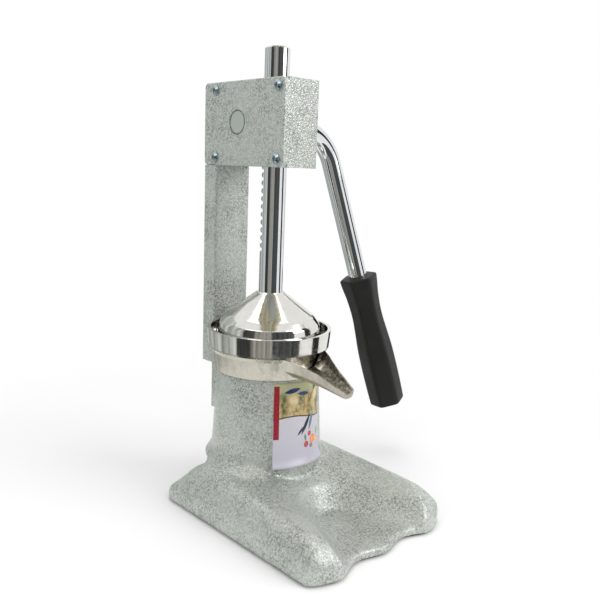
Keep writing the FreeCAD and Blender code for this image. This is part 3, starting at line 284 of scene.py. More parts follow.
def line_group():
    """Fine polishing and handling lines, drawn out along one axis by the scale vector."""
    name = "Fine lines"
    if name in bpy.data.node_groups:
        return bpy.data.node_groups[name]
    tree, start, end = new_group(
        name, [("Vector", "Vector", None), ("Stretch", "Vector", (1.0, 1.0, 1.0))], [("Lines", "Float")])
    drawn = add_node(tree, "ShaderNodeVectorMath", {"operation": "MULTIPLY"},
                     at0=start.outputs["Vector"], at1=start.outputs["Stretch"])
    noise = add_node(tree, "ShaderNodeTexNoise", Vector=drawn.outputs[0], Scale=1.0, Detail=4.0, Roughness=0.7)
    tree.links.new(remap(tree, noise.outputs["Fac"], 0.3, 0.7), end.inputs["Lines"])
    return tree


def use_group(tree, group, **values):
    """Add a node that uses a group, with its inputs linked or set."""
    return add_node(tree, "ShaderNodeGroup", {"node_tree": group}, **values)


def new_material(name):
    """Material with an empty tree, its Principled shader and its Object coordinates."""
    material = bpy.data.materials.new(name)
    material.use_nodes = True
    tree = material.node_tree
    tree.nodes.clear()
    shader = tree.nodes.new("ShaderNodeBsdfPrincipled")
    output = tree.nodes.new("ShaderNodeOutputMaterial")
    tree.links.new(shader.outputs["BSDF"], output.inputs["Surface"])
    place = tree.nodes.new("ShaderNodeTexCoord").outputs["Object"]
    return material, tree, shader, place


def tree_parts(material):
    """Tree of a material from new_material, its Principled shader and its Object coordinates."""
    tree = material.node_tree
    shader = next(node for node in tree.nodes if node.type == "BSDF_PRINCIPLED")
    place = next(node for node in tree.nodes if node.type == "TEX_COORD").outputs["Object"]
    return tree, shader, place


def bump(tree, shader, height, distance):
    """Give a shader the relief of a height."""
    node = add_node(tree, "ShaderNodeBump", Height=height, Distance=distance, Strength=1.0)
    tree.links.new(node.outputs["Normal"], shader.inputs["Normal"])


def colour(red, green, blue):
    """Linear colour of an 8-bit sRGB one."""
    parts = [part / 255.0 for part in (red, green, blue)]
    return tuple(p / 12.92 if p <= 0.04045 else ((p + 0.055) / 1.055) ** 2.4 for p in parts) + (1.0,)


# Finishes.


def hammertone(settings):
    """Silver enamel whose flakes swirl into cells, with darker green-grey squiggles between them."""
    material, tree, shader, place = new_material("Hammertone enamel")
    hammer = use_group(tree, hammer_group(), Vector=place, Cells=settings.cells_per_metre)
    patches = use_group(tree, blotch_group(), Vector=place, Scale=30.0)
    light = tuple(settings.paint_light) + (1.0,)
    dark = tuple(settings.paint_dark) + (1.0,)
    middle = tuple(0.80 * a + 0.20 * b for a, b in zip(light, dark))
    cell = blend_colours(tree, hammer.outputs["Bulge"], middle, light)
    strength = remap(tree, patches.outputs["Mask"], 0.0, 1.0, 0.30, 0.72)
    marked = compute(tree, "ADD", compute(tree, "MULTIPLY", hammer.outputs["Veins"], 0.85),
                     compute(tree, "MULTIPLY", hammer.outputs["Net"], 0.40), clamp=True)
    veins = compute(tree, "MULTIPLY", marked, strength)
    cell = blend_colours(tree, veins, cell, dark)
    # A dark ring painted round the shaft's end stands for the shade in the joint gap; the bump below cuts it in as
    # a groove.
    joint_shade = painted_joint_shade(tree, place)
    tree.links.new(blend_colours(tree, joint_shade, cell, colour(66, 70, 68)), shader.inputs["Base Color"])
    tree.links.new(remap(tree, veins, 0.0, 1.0, 0.30, 0.44), shader.inputs["Roughness"])
    shader.inputs["Metallic"].default_value = 0.5
    shader.inputs["Coat Weight"].default_value = 0.3
    shader.inputs["Coat Roughness"].default_value = 0.16
    height = compute(tree, "SUBTRACT", hammer.outputs["Bulge"], marked)
    height = compute(tree, "SUBTRACT", height, compute(tree, "MULTIPLY", joint_shade, 3.0))
    bump(tree, shader, height, 0.00014)
    return material


def away_from(tree, across, up, centre):
    """Offsets from a centre across and up, and the distance."""
    right = compute(tree, "SUBTRACT", across, centre[0])
    high = compute(tree, "SUBTRACT", up, centre[1])
    square = compute(tree, "ADD", compute(tree, "MULTIPLY", right, right), compute(tree, "MULTIPLY", high, high))
    return right, high, compute(tree, "SQRT", square)


def painted_joint_shade(tree, place):
    """Mask of the painted shade in the joint gap round the shaft's end in the cover's outer face."""
    parts = add_node(tree, "ShaderNodeSeparateXYZ", Vector=place)
    distance = away_from(tree, parts.outputs["Y"], parts.outputs["Z"], SHAFT_AXIS)[2]
    off = compute(tree, "ABSOLUTE", compute(tree, "SUBTRACT", distance, SHAFT_SHADE_RADIUS))
    line = remap(tree, off, 0.0003, 0.0007, 1.0, 0.0)
    outer = remap(tree, parts.outputs["X"], COVER_FACE_X - 0.0004, COVER_FACE_X + 0.0002, 1.0, 0.0, smooth=False)
    return compute(tree, "MULTIPLY", line, outer)


def bright_metal(name, tone, roughness, spread, stretch, lines_depth=0.0):
    """Polished metal whose gloss varies a little along its polishing lines."""
    material, tree, shader, place = new_material(name)
    lines = use_group(tree, line_group(), Vector=place, Stretch=stretch)
    patches = use_group(tree, blotch_group(), Vector=place, Scale=55.0)
    shader.inputs["Metallic"].default_value = 1.0
    worn = tuple(part * 0.86 for part in tone[:3]) + (1.0,)
    tree.links.new(blend_colours(tree, compute(tree, "MULTIPLY", patches.outputs["Mask"], 0.5), tone, worn),
                   shader.inputs["Base Color"])
    rough = remap(tree, compute(tree, "MULTIPLY", lines.outputs["Lines"], patches.outputs["Mask"]),
                  0.0, 1.0, roughness, roughness + spread)
    tree.links.new(rough, shader.inputs["Roughness"])
    if lines_depth:
        bump(tree, shader, lines.outputs["Lines"], lines_depth)
    return material


def chrome_with_painted_end():
    """Chrome, with the enamel that covers the shaft's end where it lies in the gear cover."""
    material = bright_metal("Chrome lever", colour(226, 228, 230), 0.05, 0.10, (90.0, 90.0, 900.0))
    tree, shader, place = tree_parts(material)
    along = add_node(tree, "ShaderNodeSeparateXYZ", Vector=place).outputs["X"]
    end = remap(tree, along, SHAFT_END_X, SHAFT_END_X + 0.0003, 1.0, 0.0, smooth=False)
    shine = shader.inputs["Base Color"].links[0].from_socket
    tree.links.new(blend_colours(tree, end, shine, colour(176, 186, 178)), shader.inputs["Base Color"])
    tree.links.new(remap(tree, end, 0.0, 1.0, 0.06, 0.42), shader.inputs["Roughness"])
    tree.links.new(remap(tree, end, 0.0, 1.0, 1.0, 0.4), shader.inputs["Metallic"])
    return material


def channel_mask(tree, place):
    """Mask of what stands clearly above the spout's outer skin: the inside of its channel.

    The skin's section has a half width, a top and a depth that follow broken lines along the spout,
    and its side rises by a share of the depth that is a broken line of the distance over the half width.
    """
    parts = add_node(tree, "ShaderNodeSeparateXYZ", Vector=place)
    along = parts.outputs["Y"]
    half, top, depth = (broken_line(tree, along, SPOUT_PLACES, levels)
                        for levels in (SPOUT_HALF_WIDTHS, SPOUT_TOPS, SPOUT_DEPTHS))
    across = compute(tree, "DIVIDE", compute(tree, "ABSOLUTE", parts.outputs["X"]), half)
    below_top = compute(tree, "SUBTRACT", 1.0, broken_line(tree, across, *SPOUT_SIDE))
    skin = compute(tree, "SUBTRACT", top, compute(tree, "MULTIPLY", depth, below_top))
    rise = compute(tree, "SUBTRACT", parts.outputs["Z"], skin)
    return compute(tree, "MULTIPLY", remap(tree, rise, *SPOUT_RISE), remap(tree, along, *SPOUT_END))


def cast_aluminium():
    """Rubbed aluminium casting: warm, slightly lumpy and streaked, dull on the spout, and in its channel unpolished
    and darker, a darkness that is partly painted shade of the channel.
    """
    material = bright_metal("Cast aluminium", colour(204, 200, 188), 0.20, 0.22, (260.0, 260.0, 60.0), 0.00001)
    tree, shader, place = tree_parts(material)
    lumps = add_node(tree, "ShaderNodeTexNoise", Vector=place, Scale=90.0, Detail=2.0)
    wavy = add_node(tree, "ShaderNodeBump", Height=lumps.outputs["Fac"], Distance=0.0002, Strength=1.0)
    fine = shader.inputs["Normal"].links[0].from_node
    tree.links.new(wavy.outputs["Normal"], fine.inputs["Normal"])
    along = add_node(tree, "ShaderNodeSeparateXYZ", Vector=place).outputs["Y"]
    spout = remap(tree, along, *SPOUT_START, 1.0, 0.0)
    trough = compute(tree, "MULTIPLY", channel_mask(tree, place), spout)
    shine = shader.inputs["Base Color"].links[0].from_socket
    gloss = shader.inputs["Roughness"].links[0].from_socket
    pitted = add_node(tree, "ShaderNodeTexNoise", Vector=place, Scale=420.0, Detail=4.0)
    pits = remap(tree, pitted.outputs["Fac"], 0.40, 0.60)
    # The channel's dark mottled colour is unpolished casting and partly painted shade of the recess.
    raw_and_shade = blend_colours(tree, pits, colour(96, 88, 76), colour(170, 163, 150))
    tree.links.new(blend_colours(tree, compute(tree, "MULTIPLY", trough, 0.85), shine, raw_and_shade),
                   shader.inputs["Base Color"])
    dull = compute(tree, "ADD", compute(tree, "MULTIPLY", spout, 0.16), compute(tree, "MULTIPLY", trough, 0.10))
    tree.links.new(compute(tree, "ADD", gloss, dull, clamp=True), shader.inputs["Roughness"])
    return material


def black_plastic():
    """Satin black moulding with a fine even grain."""
    material, tree, shader, place = new_material("Black satin plastic")
    grain = add_node(tree, "ShaderNodeTexNoise", Vector=place, Scale=2600.0, Detail=2.0)
    patches = use_group(tree, blotch_group(), Vector=place, Scale=24.0)
    tree.links.new(blend_colours(tree, patches.outputs["Mask"], colour(20, 21, 19), colour(28, 29, 26)),
                   shader.inputs["Base Color"])
    tree.links.new(remap(tree, patches.outputs["Mask"], 0.0, 1.0, 0.48, 0.60), shader.inputs["Roughness"])
    shader.inputs["Specular IOR Level"].default_value = 0.32
    bump(tree, shader, grain.outputs["Fac"], 0.00006)
    return material


def rubber():
    """Matt black rubber with a dusty bloom."""
    material, tree, shader, place = new_material("Foot rubber")
    patches = use_group(tree, blotch_group(), Vector=place, Scale=120.0)
    tree.links.new(blend_colours(tree, patches.outputs["Mask"], colour(28, 28, 29), colour(52, 51, 50)),
                   shader.inputs["Base Color"])
    shader.inputs["Roughness"].default_value = 0.8
    bump(tree, shader, patches.outputs["Mask"], 0.00008)
    return material


def disc(tree, across, up, centre, radius, soft):
    """Mask of a round patch on the label, with the distance and the angle from its centre."""
    right, high, distance = away_from(tree, across, up, centre)
    angle = compute(tree, "ARCTAN2", high, right)
    return remap(tree, distance, radius - soft, radius + soft, 1.0, 0.0), distance, angle


def leaf(tree, across, up, centre, angle, length, breadth):
    """Mask of a pointed leaf on the label: a lens, broadest in its middle, turned by an angle."""
    right = compute(tree, "SUBTRACT", across, centre[0])
    high = compute(tree, "SUBTRACT", up, centre[1])
    turn = math.radians(angle)
    along = compute(tree, "ADD", compute(tree, "MULTIPLY", right, math.cos(turn) / length),
                    compute(tree, "MULTIPLY", high, math.sin(turn) / length))
    beside = compute(tree, "SUBTRACT", compute(tree, "MULTIPLY", high, math.cos(turn) / breadth),
                     compute(tree, "MULTIPLY", right, math.sin(turn) / breadth))
    edge = compute(tree, "ADD", compute(tree, "MULTIPLY", along, along), compute(tree, "ABSOLUTE", beside))
    return remap(tree, edge, 0.85, 1.0, 1.0, 0.0)


def label_paper(width, height):
    """Glossy paper: a crimson side stripe, blue leaves on a tan and green field, and small fruit on pale grey."""
    material, tree, shader, place = new_material("Label paper")
    flat = add_node(tree, "ShaderNodeUVMap", {"uv_map": "Label"}).outputs["UV"]
    parts = add_node(tree, "ShaderNodeSeparateXYZ", Vector=flat)
    across = compute(tree, "MULTIPLY", parts.outputs["X"], width)
    up = compute(tree, "MULTIPLY", parts.outputs["Y"], height)
    millimetre = 0.001
    shade = remap(tree, up, 0.0, height, 0.0, 1.0)
    paint = blend_colours(tree, shade, colour(190, 187, 199), colour(206, 203, 208))
    wave = compute(tree, "SINE", compute(tree, "MULTIPLY", across, 95.0))
    border = compute(tree, "ADD", 0.565 * height, compute(tree, "MULTIPLY", wave, 2.2 * millimetre))
    above = remap(tree, compute(tree, "SUBTRACT", up, border), 0.0, 0.4 * millimetre)
    leaves = add_node(tree, "ShaderNodeTexNoise", Vector=flat, Scale=9.0, Detail=5.0, Roughness=0.65)
    sunny = add_node(tree, "ShaderNodeTexNoise", Vector=flat, Scale=4.0, Detail=2.0)
    field = blend_colours(tree, remap(tree, leaves.outputs["Fac"], 0.38, 0.62),
                          colour(88, 96, 58), colour(196, 168, 112))
    field = blend_colours(tree, remap(tree, sunny.outputs["Fac"], 0.45, 0.7), field, colour(226, 205, 160))
    sky = remap(tree, up, 0.80 * height, 0.93 * height)
    field = blend_colours(tree, sky, field, colour(176, 178, 138))
    paint = blend_colours(tree, above, paint, field)
    ridge = remap(tree, compute(tree, "ABSOLUTE", compute(tree, "SUBTRACT", up, border)), 0.3 * millimetre,
                  0.8 * millimetre, 1.0, 0.0)
    paint = blend_colours(tree, ridge, paint, colour(74, 70, 48))
    for centre, angle, length, breadth, tone in LABEL_LEAVES:
        mask = leaf(tree, across, up, (centre[0] * width, centre[1] * height), angle, length, breadth)
        paint = blend_colours(tree, mask, paint, colour(*tone))
    for (right, high), radius, rind, flesh in LABEL_FRUIT:
        centre = (right * width, high * height)
        mask, distance, angle = disc(tree, across, up, centre, radius, 0.15 * millimetre)
        spokes = compute(tree, "ABSOLUTE", compute(tree, "SINE", compute(tree, "MULTIPLY", angle, 4.0)))
        inside = remap(tree, distance, 0.72 * radius, 0.80 * radius, 1.0, 0.0)
        pulp = compute(tree, "MULTIPLY", inside, remap(tree, spokes, 0.12, 0.3))
        fruit = blend_colours(tree, pulp, colour(*rind), colour(*flesh))
        paint = blend_colours(tree, mask, paint, fruit)
    left = remap(tree, across, 0.2 * millimetre, 0.5 * millimetre)
    right = remap(tree, across, 5.0 * millimetre, 5.3 * millimetre, 1.0, 0.0)
    low = remap(tree, up, 0.33 * height, 0.335 * height)
    high = remap(tree, up, 0.965 * height, 0.97 * height, 1.0, 0.0)
    stripe = compute(tree, "MULTIPLY", compute(tree, "MULTIPLY", left, right), compute(tree, "MULTIPLY", low, high))
    paint = blend_colours(tree, stripe, paint, colour(146, 22, 42))
    tree.links.new(paint, shader.inputs["Base Color"])
    fibre = add_node(tree, "ShaderNodeTexNoise", Vector=place, Scale=900.0, Detail=3.0)
    tree.links.new(remap(tree, fibre.outputs["Fac"], 0.3, 0.7, 0.26, 0.36), shader.inputs["Roughness"])
    bump(tree, shader, fibre.outputs["Fac"], 0.00003)
    return material


def dress(names, material):
    """Give CAD nodes their finish."""
    for name in names:
        node = CAD_NODES[name]
        node.data.materials.clear()
        node.data.materials.append(material)


def surface_mesh(name, points, closed_across=False, uv_name=None):
    """Mesh of a grid of points, rows by columns, with a UV map of the grid's two parameters."""
    rows, columns = points.shape[:2]
    index = np.arange(rows * columns).reshape(rows, columns)
    right = np.roll(index, -1, axis=1) if closed_across else index[:, 1:]
    left = index if closed_across else index[:, :-1]
    faces = np.stack([left[:-1], right[:-1], right[1:], left[1:]], axis=-1).reshape(-1, 4)
    mesh = bpy.data.meshes.new(name)
    mesh.from_pydata(points.reshape(-1, 3).tolist(), [], faces.tolist())
    if uv_name:
        u, v = np.meshgrid(np.linspace(0, 1, columns), np.linspace(0, 1, rows))
        table = np.stack([u, v], axis=-1).reshape(-1, 2)
        layer = mesh.uv_layers.new(name=uv_name)
        layer.data.foreach_set("uv", table[faces.ravel()].ravel())
    mesh.shade_smooth()
    piece = bpy.data.objects.new(name, mesh)
    bpy.context.scene.collection.objects.link(piece)
    return piece


def close_poles(piece):
    """Merge the doubled points at a surface's poles and turn its faces outwards."""
    work = bmesh.new()
    work.from_mesh(piece.data)
    bmesh.ops.remove_doubles(work, verts=work.verts, dist=SAME_PLACE)
    bmesh.ops.recalc_face_normals(work, faces=work.faces)
    work.to_mesh(piece.data)
    work.free()
    piece.data.shade_smooth()


def pedestal_radius(height):
    """Radius of the pedestal at a height.

    A cone, linear between its top and its foot, and below it the cove, which runs out at a slope;
    the two meet in the softened maximum log(1 + exp(difference / softness)) * softness.
    """
    (top_radius, top), (foot_radius, foot) = PEDESTAL_TOP, PEDESTAL_FOOT
    cone = foot_radius + (top_radius - foot_radius) * (height - foot) / (top - foot)
    past = (COVE_TOP - height) * COVE_SLOPE
    return cone + COVE_SOFTNESS * np.log1p(np.exp(past / COVE_SOFTNESS))


def merged_copy(name, nodes, walls):
    """New mesh object with copies of some CAD nodes, their loose triangles joined up, and closed walls."""
    work = bmesh.new()
    for node in nodes:
        work.from_mesh(CAD_NODES[node].data)
    bmesh.ops.remove_doubles(work, verts=work.verts, dist=SAME_PLACE)
    for wall in walls:
        work.from_mesh(wall.data)
        bpy.data.objects.remove(wall)
    mesh = bpy.data.meshes.new(name)
    work.to_mesh(mesh)
    work.free()
    piece = bpy.data.objects.new(name, mesh)
    bpy.context.scene.collection.objects.link(piece)
    return piece


def corner_wall(side):
    """Closed wall inside one rear corner of the base's rim, left (-1) or right (1).

    The hollow under the base leaves the rim open there. A four-sided section, swept through the angle t
    round the plan corner's centre: its sides stand at two radii, its foot is level and its head is at
    low + rise * sin(2 t)^2. The end rows fall together.
    """
    turn = np.radians(np.linspace(*WALL_SWEEP, 27))
    low, rise = WALL_HEAD
    head = low + rise * np.sin(2.0 * turn) ** 2
    outer, inner = (np.full_like(turn, CORNER_RADIUS - inset) for inset in WALL_INSETS)
    foot = np.full_like(turn, SOLE + WALL_FOOT)
    radius = np.stack([outer, outer, inner, inner], axis=1)
    level = np.stack([foot, head, head, foot], axis=1)
    radius[[0, -1]] = radius[[0, -1]].mean(axis=1, keepdims=True)
    level[[0, -1]] = level[[0, -1]].mean(axis=1, keepdims=True)
    x = side * (BASE_HALF_WIDTH - CORNER_RADIUS + radius * np.cos(turn)[:, None])
    y = BASE_REAR - CORNER_RADIUS + radius * np.sin(turn)[:, None]
    wall = surface_mesh("Corner", np.stack([x, y, level], axis=-1), closed_across=True)
    close_poles(wall)
    return wall


def ramp(value, start, reach, least=0.0):
    """Rise from a least share to 1 over a reach, which is negative where it falls."""
    return np.clip((value - start) / reach, least, 1.0)


def cast_copy(name, nodes, walls, share, settle):
    """Copy of CAD nodes and closed walls as one skin with the soft edges of a sand casting.

    The skin is remeshed in even squares. Then each round moves every point towards the mean of its
    neighbours, by half of the share that the function share gives for its place, and in the end the
    function settle moves the points once more.
    """
    piece = merged_copy(name, nodes, walls)
    remesh = piece.modifiers.new("Squares", "REMESH")
    remesh.mode = "VOXEL"
    remesh.voxel_size = SKIN_SQUARE
    graph = bpy.context.evaluated_depsgraph_get()
    skin = bpy.data.meshes.new_from_object(piece.evaluated_get(graph))
    piece.modifiers.clear()
    piece.data = skin
    skin.name = name
    points = np.empty(len(skin.vertices) * 3)
    skin.vertices.foreach_get("co", points)
    points = points.reshape(-1, 3)
    edges = np.empty(len(skin.edges) * 2, dtype=np.int64)
    skin.edges.foreach_get("vertices", edges)
    first, second = edges.reshape(-1, 2).T
    ends, others = np.concatenate([first, second]), np.concatenate([second, first])
    count = np.bincount(ends, minlength=len(points))[:, None]
    weight = 0.5 * share(points)[:, None]
    for _ in range(SKIN_ROUNDS):
        total = np.stack([np.bincount(ends, weights=points[others, axis], minlength=len(points))
                          for axis in range(3)], axis=1)
        points = points + weight * (total / count - points)
    skin.vertices.foreach_set("co", settle(points).ravel())
    skin.update()
    skin.shade_smooth()
    return piece


class PressSettings(bpy.types.PropertyGroup):
    """Sizes and colours that a user may change."""

    paint_light: bpy.props.FloatVectorProperty(
        name="Enamel", description="Colour of the enamel's cells", subtype="COLOR", size=3,
        default=colour(212, 217, 211)[:3], min=0.0, max=1.0)
    paint_dark: bpy.props.FloatVectorProperty(
        name="Enamel veins", description="Colour of the veins between the enamel's cells", subtype="COLOR",
        size=3, default=colour(100, 106, 100)[:3], min=0.0, max=1.0)
    cells_per_metre: bpy.props.FloatProperty(
        name="Enamel cells", description="Number of hammered cells in a metre", default=620.0,
        min=100.0, max=3000.0)
    label_width: bpy.props.FloatProperty(
        name="Label width", description="Width of the paper label round the pedestal", subtype="DISTANCE",
        unit="LENGTH", default=0.051, min=0.01, max=0.12)
    label_bottom: bpy.props.FloatProperty(
        name="Label foot", description="Height of the label's lower edge", subtype="DISTANCE", unit="LENGTH",
        default=0.042, min=0.03, max=0.1)
    label_top: bpy.props.FloatProperty(
        name="Label top", description="Height of the label's upper edge", subtype="DISTANCE", unit="LENGTH",
        default=0.111, min=0.05, max=0.13)
    label_turn: bpy.props.FloatProperty(
        name="Label turn", description="Angle of the label's left edge round the pedestal, from +X",
        subtype="ANGLE", unit="ROTATION", default=math.radians(-125.0))
    floor_tone: bpy.props.FloatVectorProperty(
        name="Floor", description="Colour of the floor", subtype="COLOR", size=3, default=(0.9, 0.9, 0.9),
        min=0.0, max=1.0)


class PRESS_OT_castings(bpy.types.Operator):
    """Soften the base and paint it, the upright and the gear cover with hammered enamel"""

    bl_idname = "press.castings"
    bl_label = "Enamelled castings"

    def execute(self, context):
        enamel = hammertone(context.scene.press)
        dress(("base_casting", "pedestal_casting", "upright_casting", "gear_cover"), enamel)
        walls = [corner_wall(-1), corner_wall(1)]
        base = cast_copy("soft_base", ("base_casting", "pedestal_casting"), walls, self.share, self.corners)
        base.data.materials.append(enamel)
        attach(base, "frame")
        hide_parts("base_casting", "pedestal_casting")
        return {"FINISHED"}

    @staticmethod
    def share(points):
        """None at the sole, little on the pedestal and in the tray, and all of it on the flanks and the cove."""
        across, along, height = np.abs(points[:, 0]), points[:, 1], points[:, 2]
        flank = ramp(across, *FLANK_RAMP) * ramp(height, *FLANK_TOP_RAMP)
        middle, breadth = COVE_BAND
        cove = ramp(along, *REAR_RAMP) * np.exp(-(((height - middle) / breadth) ** 2))
        soft = LEAST_SHARE + (1.0 - LEAST_SHARE) * np.maximum(flank, cove)
        return ramp(height, *SOLE_RAMP) * ramp(height, *PEDESTAL_RAMP) * soft

    @staticmethod
    def corners(points):
        """Lower the four corners: heights shrink to a share where an ellipse through the ends is passed."""
        across, along = points[:, 0] / BASE_HALF_WIDTH, points[:, 1]
        back = np.clip((along - REAR_START) / (BASE_REAR - REAR_START), 0.0, None)
        front = np.clip((FRONT_START - along) / (FRONT_START - BASE_FRONT), 0.0, None)
        past = ramp(np.sqrt(across**2 + np.maximum(back, front) ** 2), *CORNER_RAMP)
        drop = np.where(along > 0.0, REAR_DROP, FRONT_DROP)
        height = points[:, 2] - SOLE
        points[:, 2] = SOLE + height * (1.0 - drop * past**2 * (3.0 - 2.0 * past))
        return points


class PRESS_OT_drive(bpy.types.Operator):
    """Chrome the lever and the toothed rod, and finish the gear inside the head"""

    bl_idname = "press.drive"
    bl_label = "Lever, rod and gear"

    def execute(self, context):
        dress(("lever_bar",), chrome_with_painted_end())
        rod = bright_metal("Chrome rod", colour(228, 229, 231), 0.04, 0.10, (700.0, 700.0, 60.0))
        dress(("rack_rod",), rod)
        steel = bright_metal("Oiled gear steel", colour(150, 148, 146), 0.24, 0.25, (500.0, 60.0, 60.0), 0.00002)
        dress(("pinion_gear", "pinion_pin"), steel)
        return {"FINISHED"}


class PRESS_OT_cups(bpy.types.Operator):
    """Polish the bell and the strainer cup, and rub down the spout bowl"""

    bl_idname = "press.cups"
    bl_label = "Bell, strainer and bowl"

    def execute(self, context):
        polished = bright_metal("Polished aluminium", colour(226, 225, 220), 0.085, 0.12, (60.0, 60.0, 800.0))
        dress(("press_bell", "strainer_cup"), polished)
        rubbed = cast_aluminium()
        dress(("spout_bowl",), rubbed)
        return {"FINISHED"}


class PRESS_OT_grip(bpy.types.Operator):
    """Mould the six-sided grip with its collar, waist and rounded edges, in satin black plastic"""

    bl_idname = "press.grip"
    bl_label = "Grip"

    def execute(self, context):
        plastic = black_plastic()
        dress(("lever_grip",), plastic)
        piece = surface_mesh("moulded_grip", self.surface(), closed_across=True)
        close_poles(piece)
        piece.data.materials.append(plastic)
        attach(piece, "lever")
        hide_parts("lever_grip")
        return {"FINISHED"}

    @staticmethod
    def surface():
        """Points of the grip: a rounded hexagon whose radius follows a profile along a straight axis.

        The hexagon's distance at an angle is the inverse p-norm of its six faces' cosines. The profile
        runs from the axis over the top, round an edge arc, down the side and back to the axis.
        """
        top, end = np.array(GRIP_TOP), np.array(GRIP_END)
        length = np.linalg.norm(end - top)
        axis = (end - top) / length
        corner = np.array(GRIP_CORNER) - axis * np.dot(GRIP_CORNER, axis)
        corner /= np.linalg.norm(corner)
        side = np.cross(axis, corner)
        share, reach = np.array(GRIP_PROFILE).T
        steps = np.linspace(0.0, 1.0, GRIP_STEPS)
        window = 2 * GRIP_SOFTNESS + 1
        padded = np.pad(np.interp(steps, share, reach), GRIP_SOFTNESS, mode="reflect", reflect_type="odd")
        wide = np.convolve(padded, np.ones(window) / window, mode="valid")
        arc = np.radians(np.linspace(0.0, 90.0, 7))
        edge = GRIP_EDGE
        first, last = wide[0], wide[-1]
        inner = (steps * length > edge) & (steps * length < length - edge)
        along = np.concatenate([[0.0, 0.0], edge * (1.0 - np.cos(arc)), steps[inner] * length,
                                length - edge * (1.0 - np.cos(arc[::-1])), [length, length]])
        radius = np.concatenate([[0.0, 0.6 * first], first - edge * (1.0 - np.sin(arc)), wide[inner],
                                 last - edge * (1.0 - np.sin(arc[::-1])), [0.6 * last, 0.0]])
        angle = np.radians(np.arange(0.0, 360.0, 5.0))
        faces = np.radians(np.arange(30.0, 390.0, 60.0))
        cosines = np.clip(np.cos(angle[:, None] - faces[None, :]), 0.0, None)
        hexagon = np.sum(cosines**GRIP_POWER, axis=1) ** (-1.0 / GRIP_POWER)
        hexagon /= hexagon.max()
        spread = radius[:, None] * hexagon[None, :]
        return (top + axis * along[:, None, None] + corner * (spread * np.cos(angle))[..., None]
                + side * (spread * np.sin(angle))[..., None])


class PRESS_OT_fixings(bpy.types.Operator):
    """Plate the screws, bolts and washers, and blacken the feet"""

    bl_idname = "press.fixings"
    bl_label = "Fixings and feet"

    def execute(self, context):
        zinc = bright_metal("Blue zinc plate", colour(178, 194, 202), 0.20, 0.22, (300.0, 300.0, 300.0), 0.00003)
        fixings = ("cover_screws", "frame_bolts", "frame_washers", "frame_spring_washers", "bell_screw",
                   "bell_washer")
        dress(fixings, zinc)
        feet = sorted(name for name in CAD_NODES if name.startswith("foot_"))
        dress(["base_pad", *feet], rubber())
        return {"FINISHED"}


class PRESS_OT_label(bpy.types.Operator):
    """Stick the paper label on the pedestal"""

    bl_idname = "press.label"
    bl_label = "Paper label"

    def execute(self, context):
        settings = context.scene.press
        height = settings.label_top - settings.label_bottom
        turn = np.linspace(0.0, settings.label_width / PEDESTAL_FOOT[0], 49)[None, :]
        rise = np.linspace(0.0, 1.0, 41)[:, None]
        level = settings.label_bottom + height * rise
        angle = settings.label_turn + turn
        radius = pedestal_radius(level) + PAPER
        grid = np.stack(np.broadcast_arrays(radius * np.cos(angle), radius * np.sin(angle), level), axis=-1)
        piece = surface_mesh("paper_label", grid, uv_name="Label")
        wall = piece.modifiers.new("Paper", "SOLIDIFY")
        wall.thickness = PAPER
        wall.offset = -1.0
        piece.data.materials.append(label_paper(settings.label_width, height))
        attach(piece, "frame")
        return {"FINISHED"}


def camera_axes():
    """Right, up and back of the camera, from the yaw, pitch and roll fitted to the photograph."""
    yaw, pitch, roll = (math.radians(angle) for angle in (CAMERA_YAW, CAMERA_PITCH, CAMERA_ROLL))
    forward = Vector((math.sin(yaw) * math.cos(pitch), math.cos(yaw) * math.cos(pitch), -math.sin(pitch)))
    level = Vector((math.cos(yaw), -math.sin(yaw), 0.0))
    down = forward.cross(level)
    right = level * math.cos(roll) + down * math.sin(roll)
    under = down * math.cos(roll) - level * math.sin(roll)
    return right, -under, -forward


def add_camera():
    """Camera of the photograph."""
    data = bpy.data.cameras.new("Photo camera")
    data.sensor_width = SENSOR_WIDTH
    data.lens = CAMERA_FOCAL_PIXELS * SENSOR_WIDTH / PHOTO_PIXELS
    data.clip_start = 0.01
    data.clip_end = 50.0
    camera = bpy.data.objects.new("Photo camera", data)
    bpy.context.scene.collection.objects.link(camera)
    right, up, back = camera_axes()
    turn = Matrix((right, up, back)).transposed().to_4x4()
    camera.matrix_world = Matrix.Translation(CAMERA_PLACE) @ turn
    bpy.context.scene.camera = camera


def add_softbox(name, place, side, power):
    """Square area lamp that faces the middle of the press."""
    data = bpy.data.lights.new(name, "AREA")
    data.shape = "RECTANGLE"
    data.size = side
    data.size_y = side
    data.energy = power
    lamp = bpy.data.objects.new(name, data)
    bpy.context.scene.collection.objects.link(lamp)
    aim = Vector(MIDDLE) - Vector(place)
    lamp.matrix_world = Matrix.Translation(place) @ aim.to_track_quat("-Z", "Y").to_matrix().to_4x4()


def card_material(name, tone):
    """Glow of one colour in upright streaks."""
    material = bpy.data.materials.new(name)
    material.use_nodes = True
    tree = material.node_tree
    tree.nodes.clear()
    across = add_node(tree, "ShaderNodeUVMap", {"uv_map": "Card"}).outputs["UV"]
    streaks = add_node(tree, "ShaderNodeVectorMath", {"operation": "MULTIPLY"}, at0=across, at1=(1.0, 0.08, 1.0))
    grain = add_node(tree, "ShaderNodeTexNoise", Vector=streaks.outputs[0], Scale=9.0, Detail=3.0)
    level = remap(tree, grain.outputs["Fac"], 0.3, 0.7, 0.35, 1.65)
    shade = add_node(tree, "ShaderNodeVectorMath", {"operation": "SCALE"}, at0=tone[:3], Scale=level)
    glow = add_node(tree, "ShaderNodeEmission", Color=shade.outputs[0], Strength=1.0)
    output = tree.nodes.new("ShaderNodeOutputMaterial")
    tree.links.new(glow.outputs[0], output.inputs["Surface"])
    return material


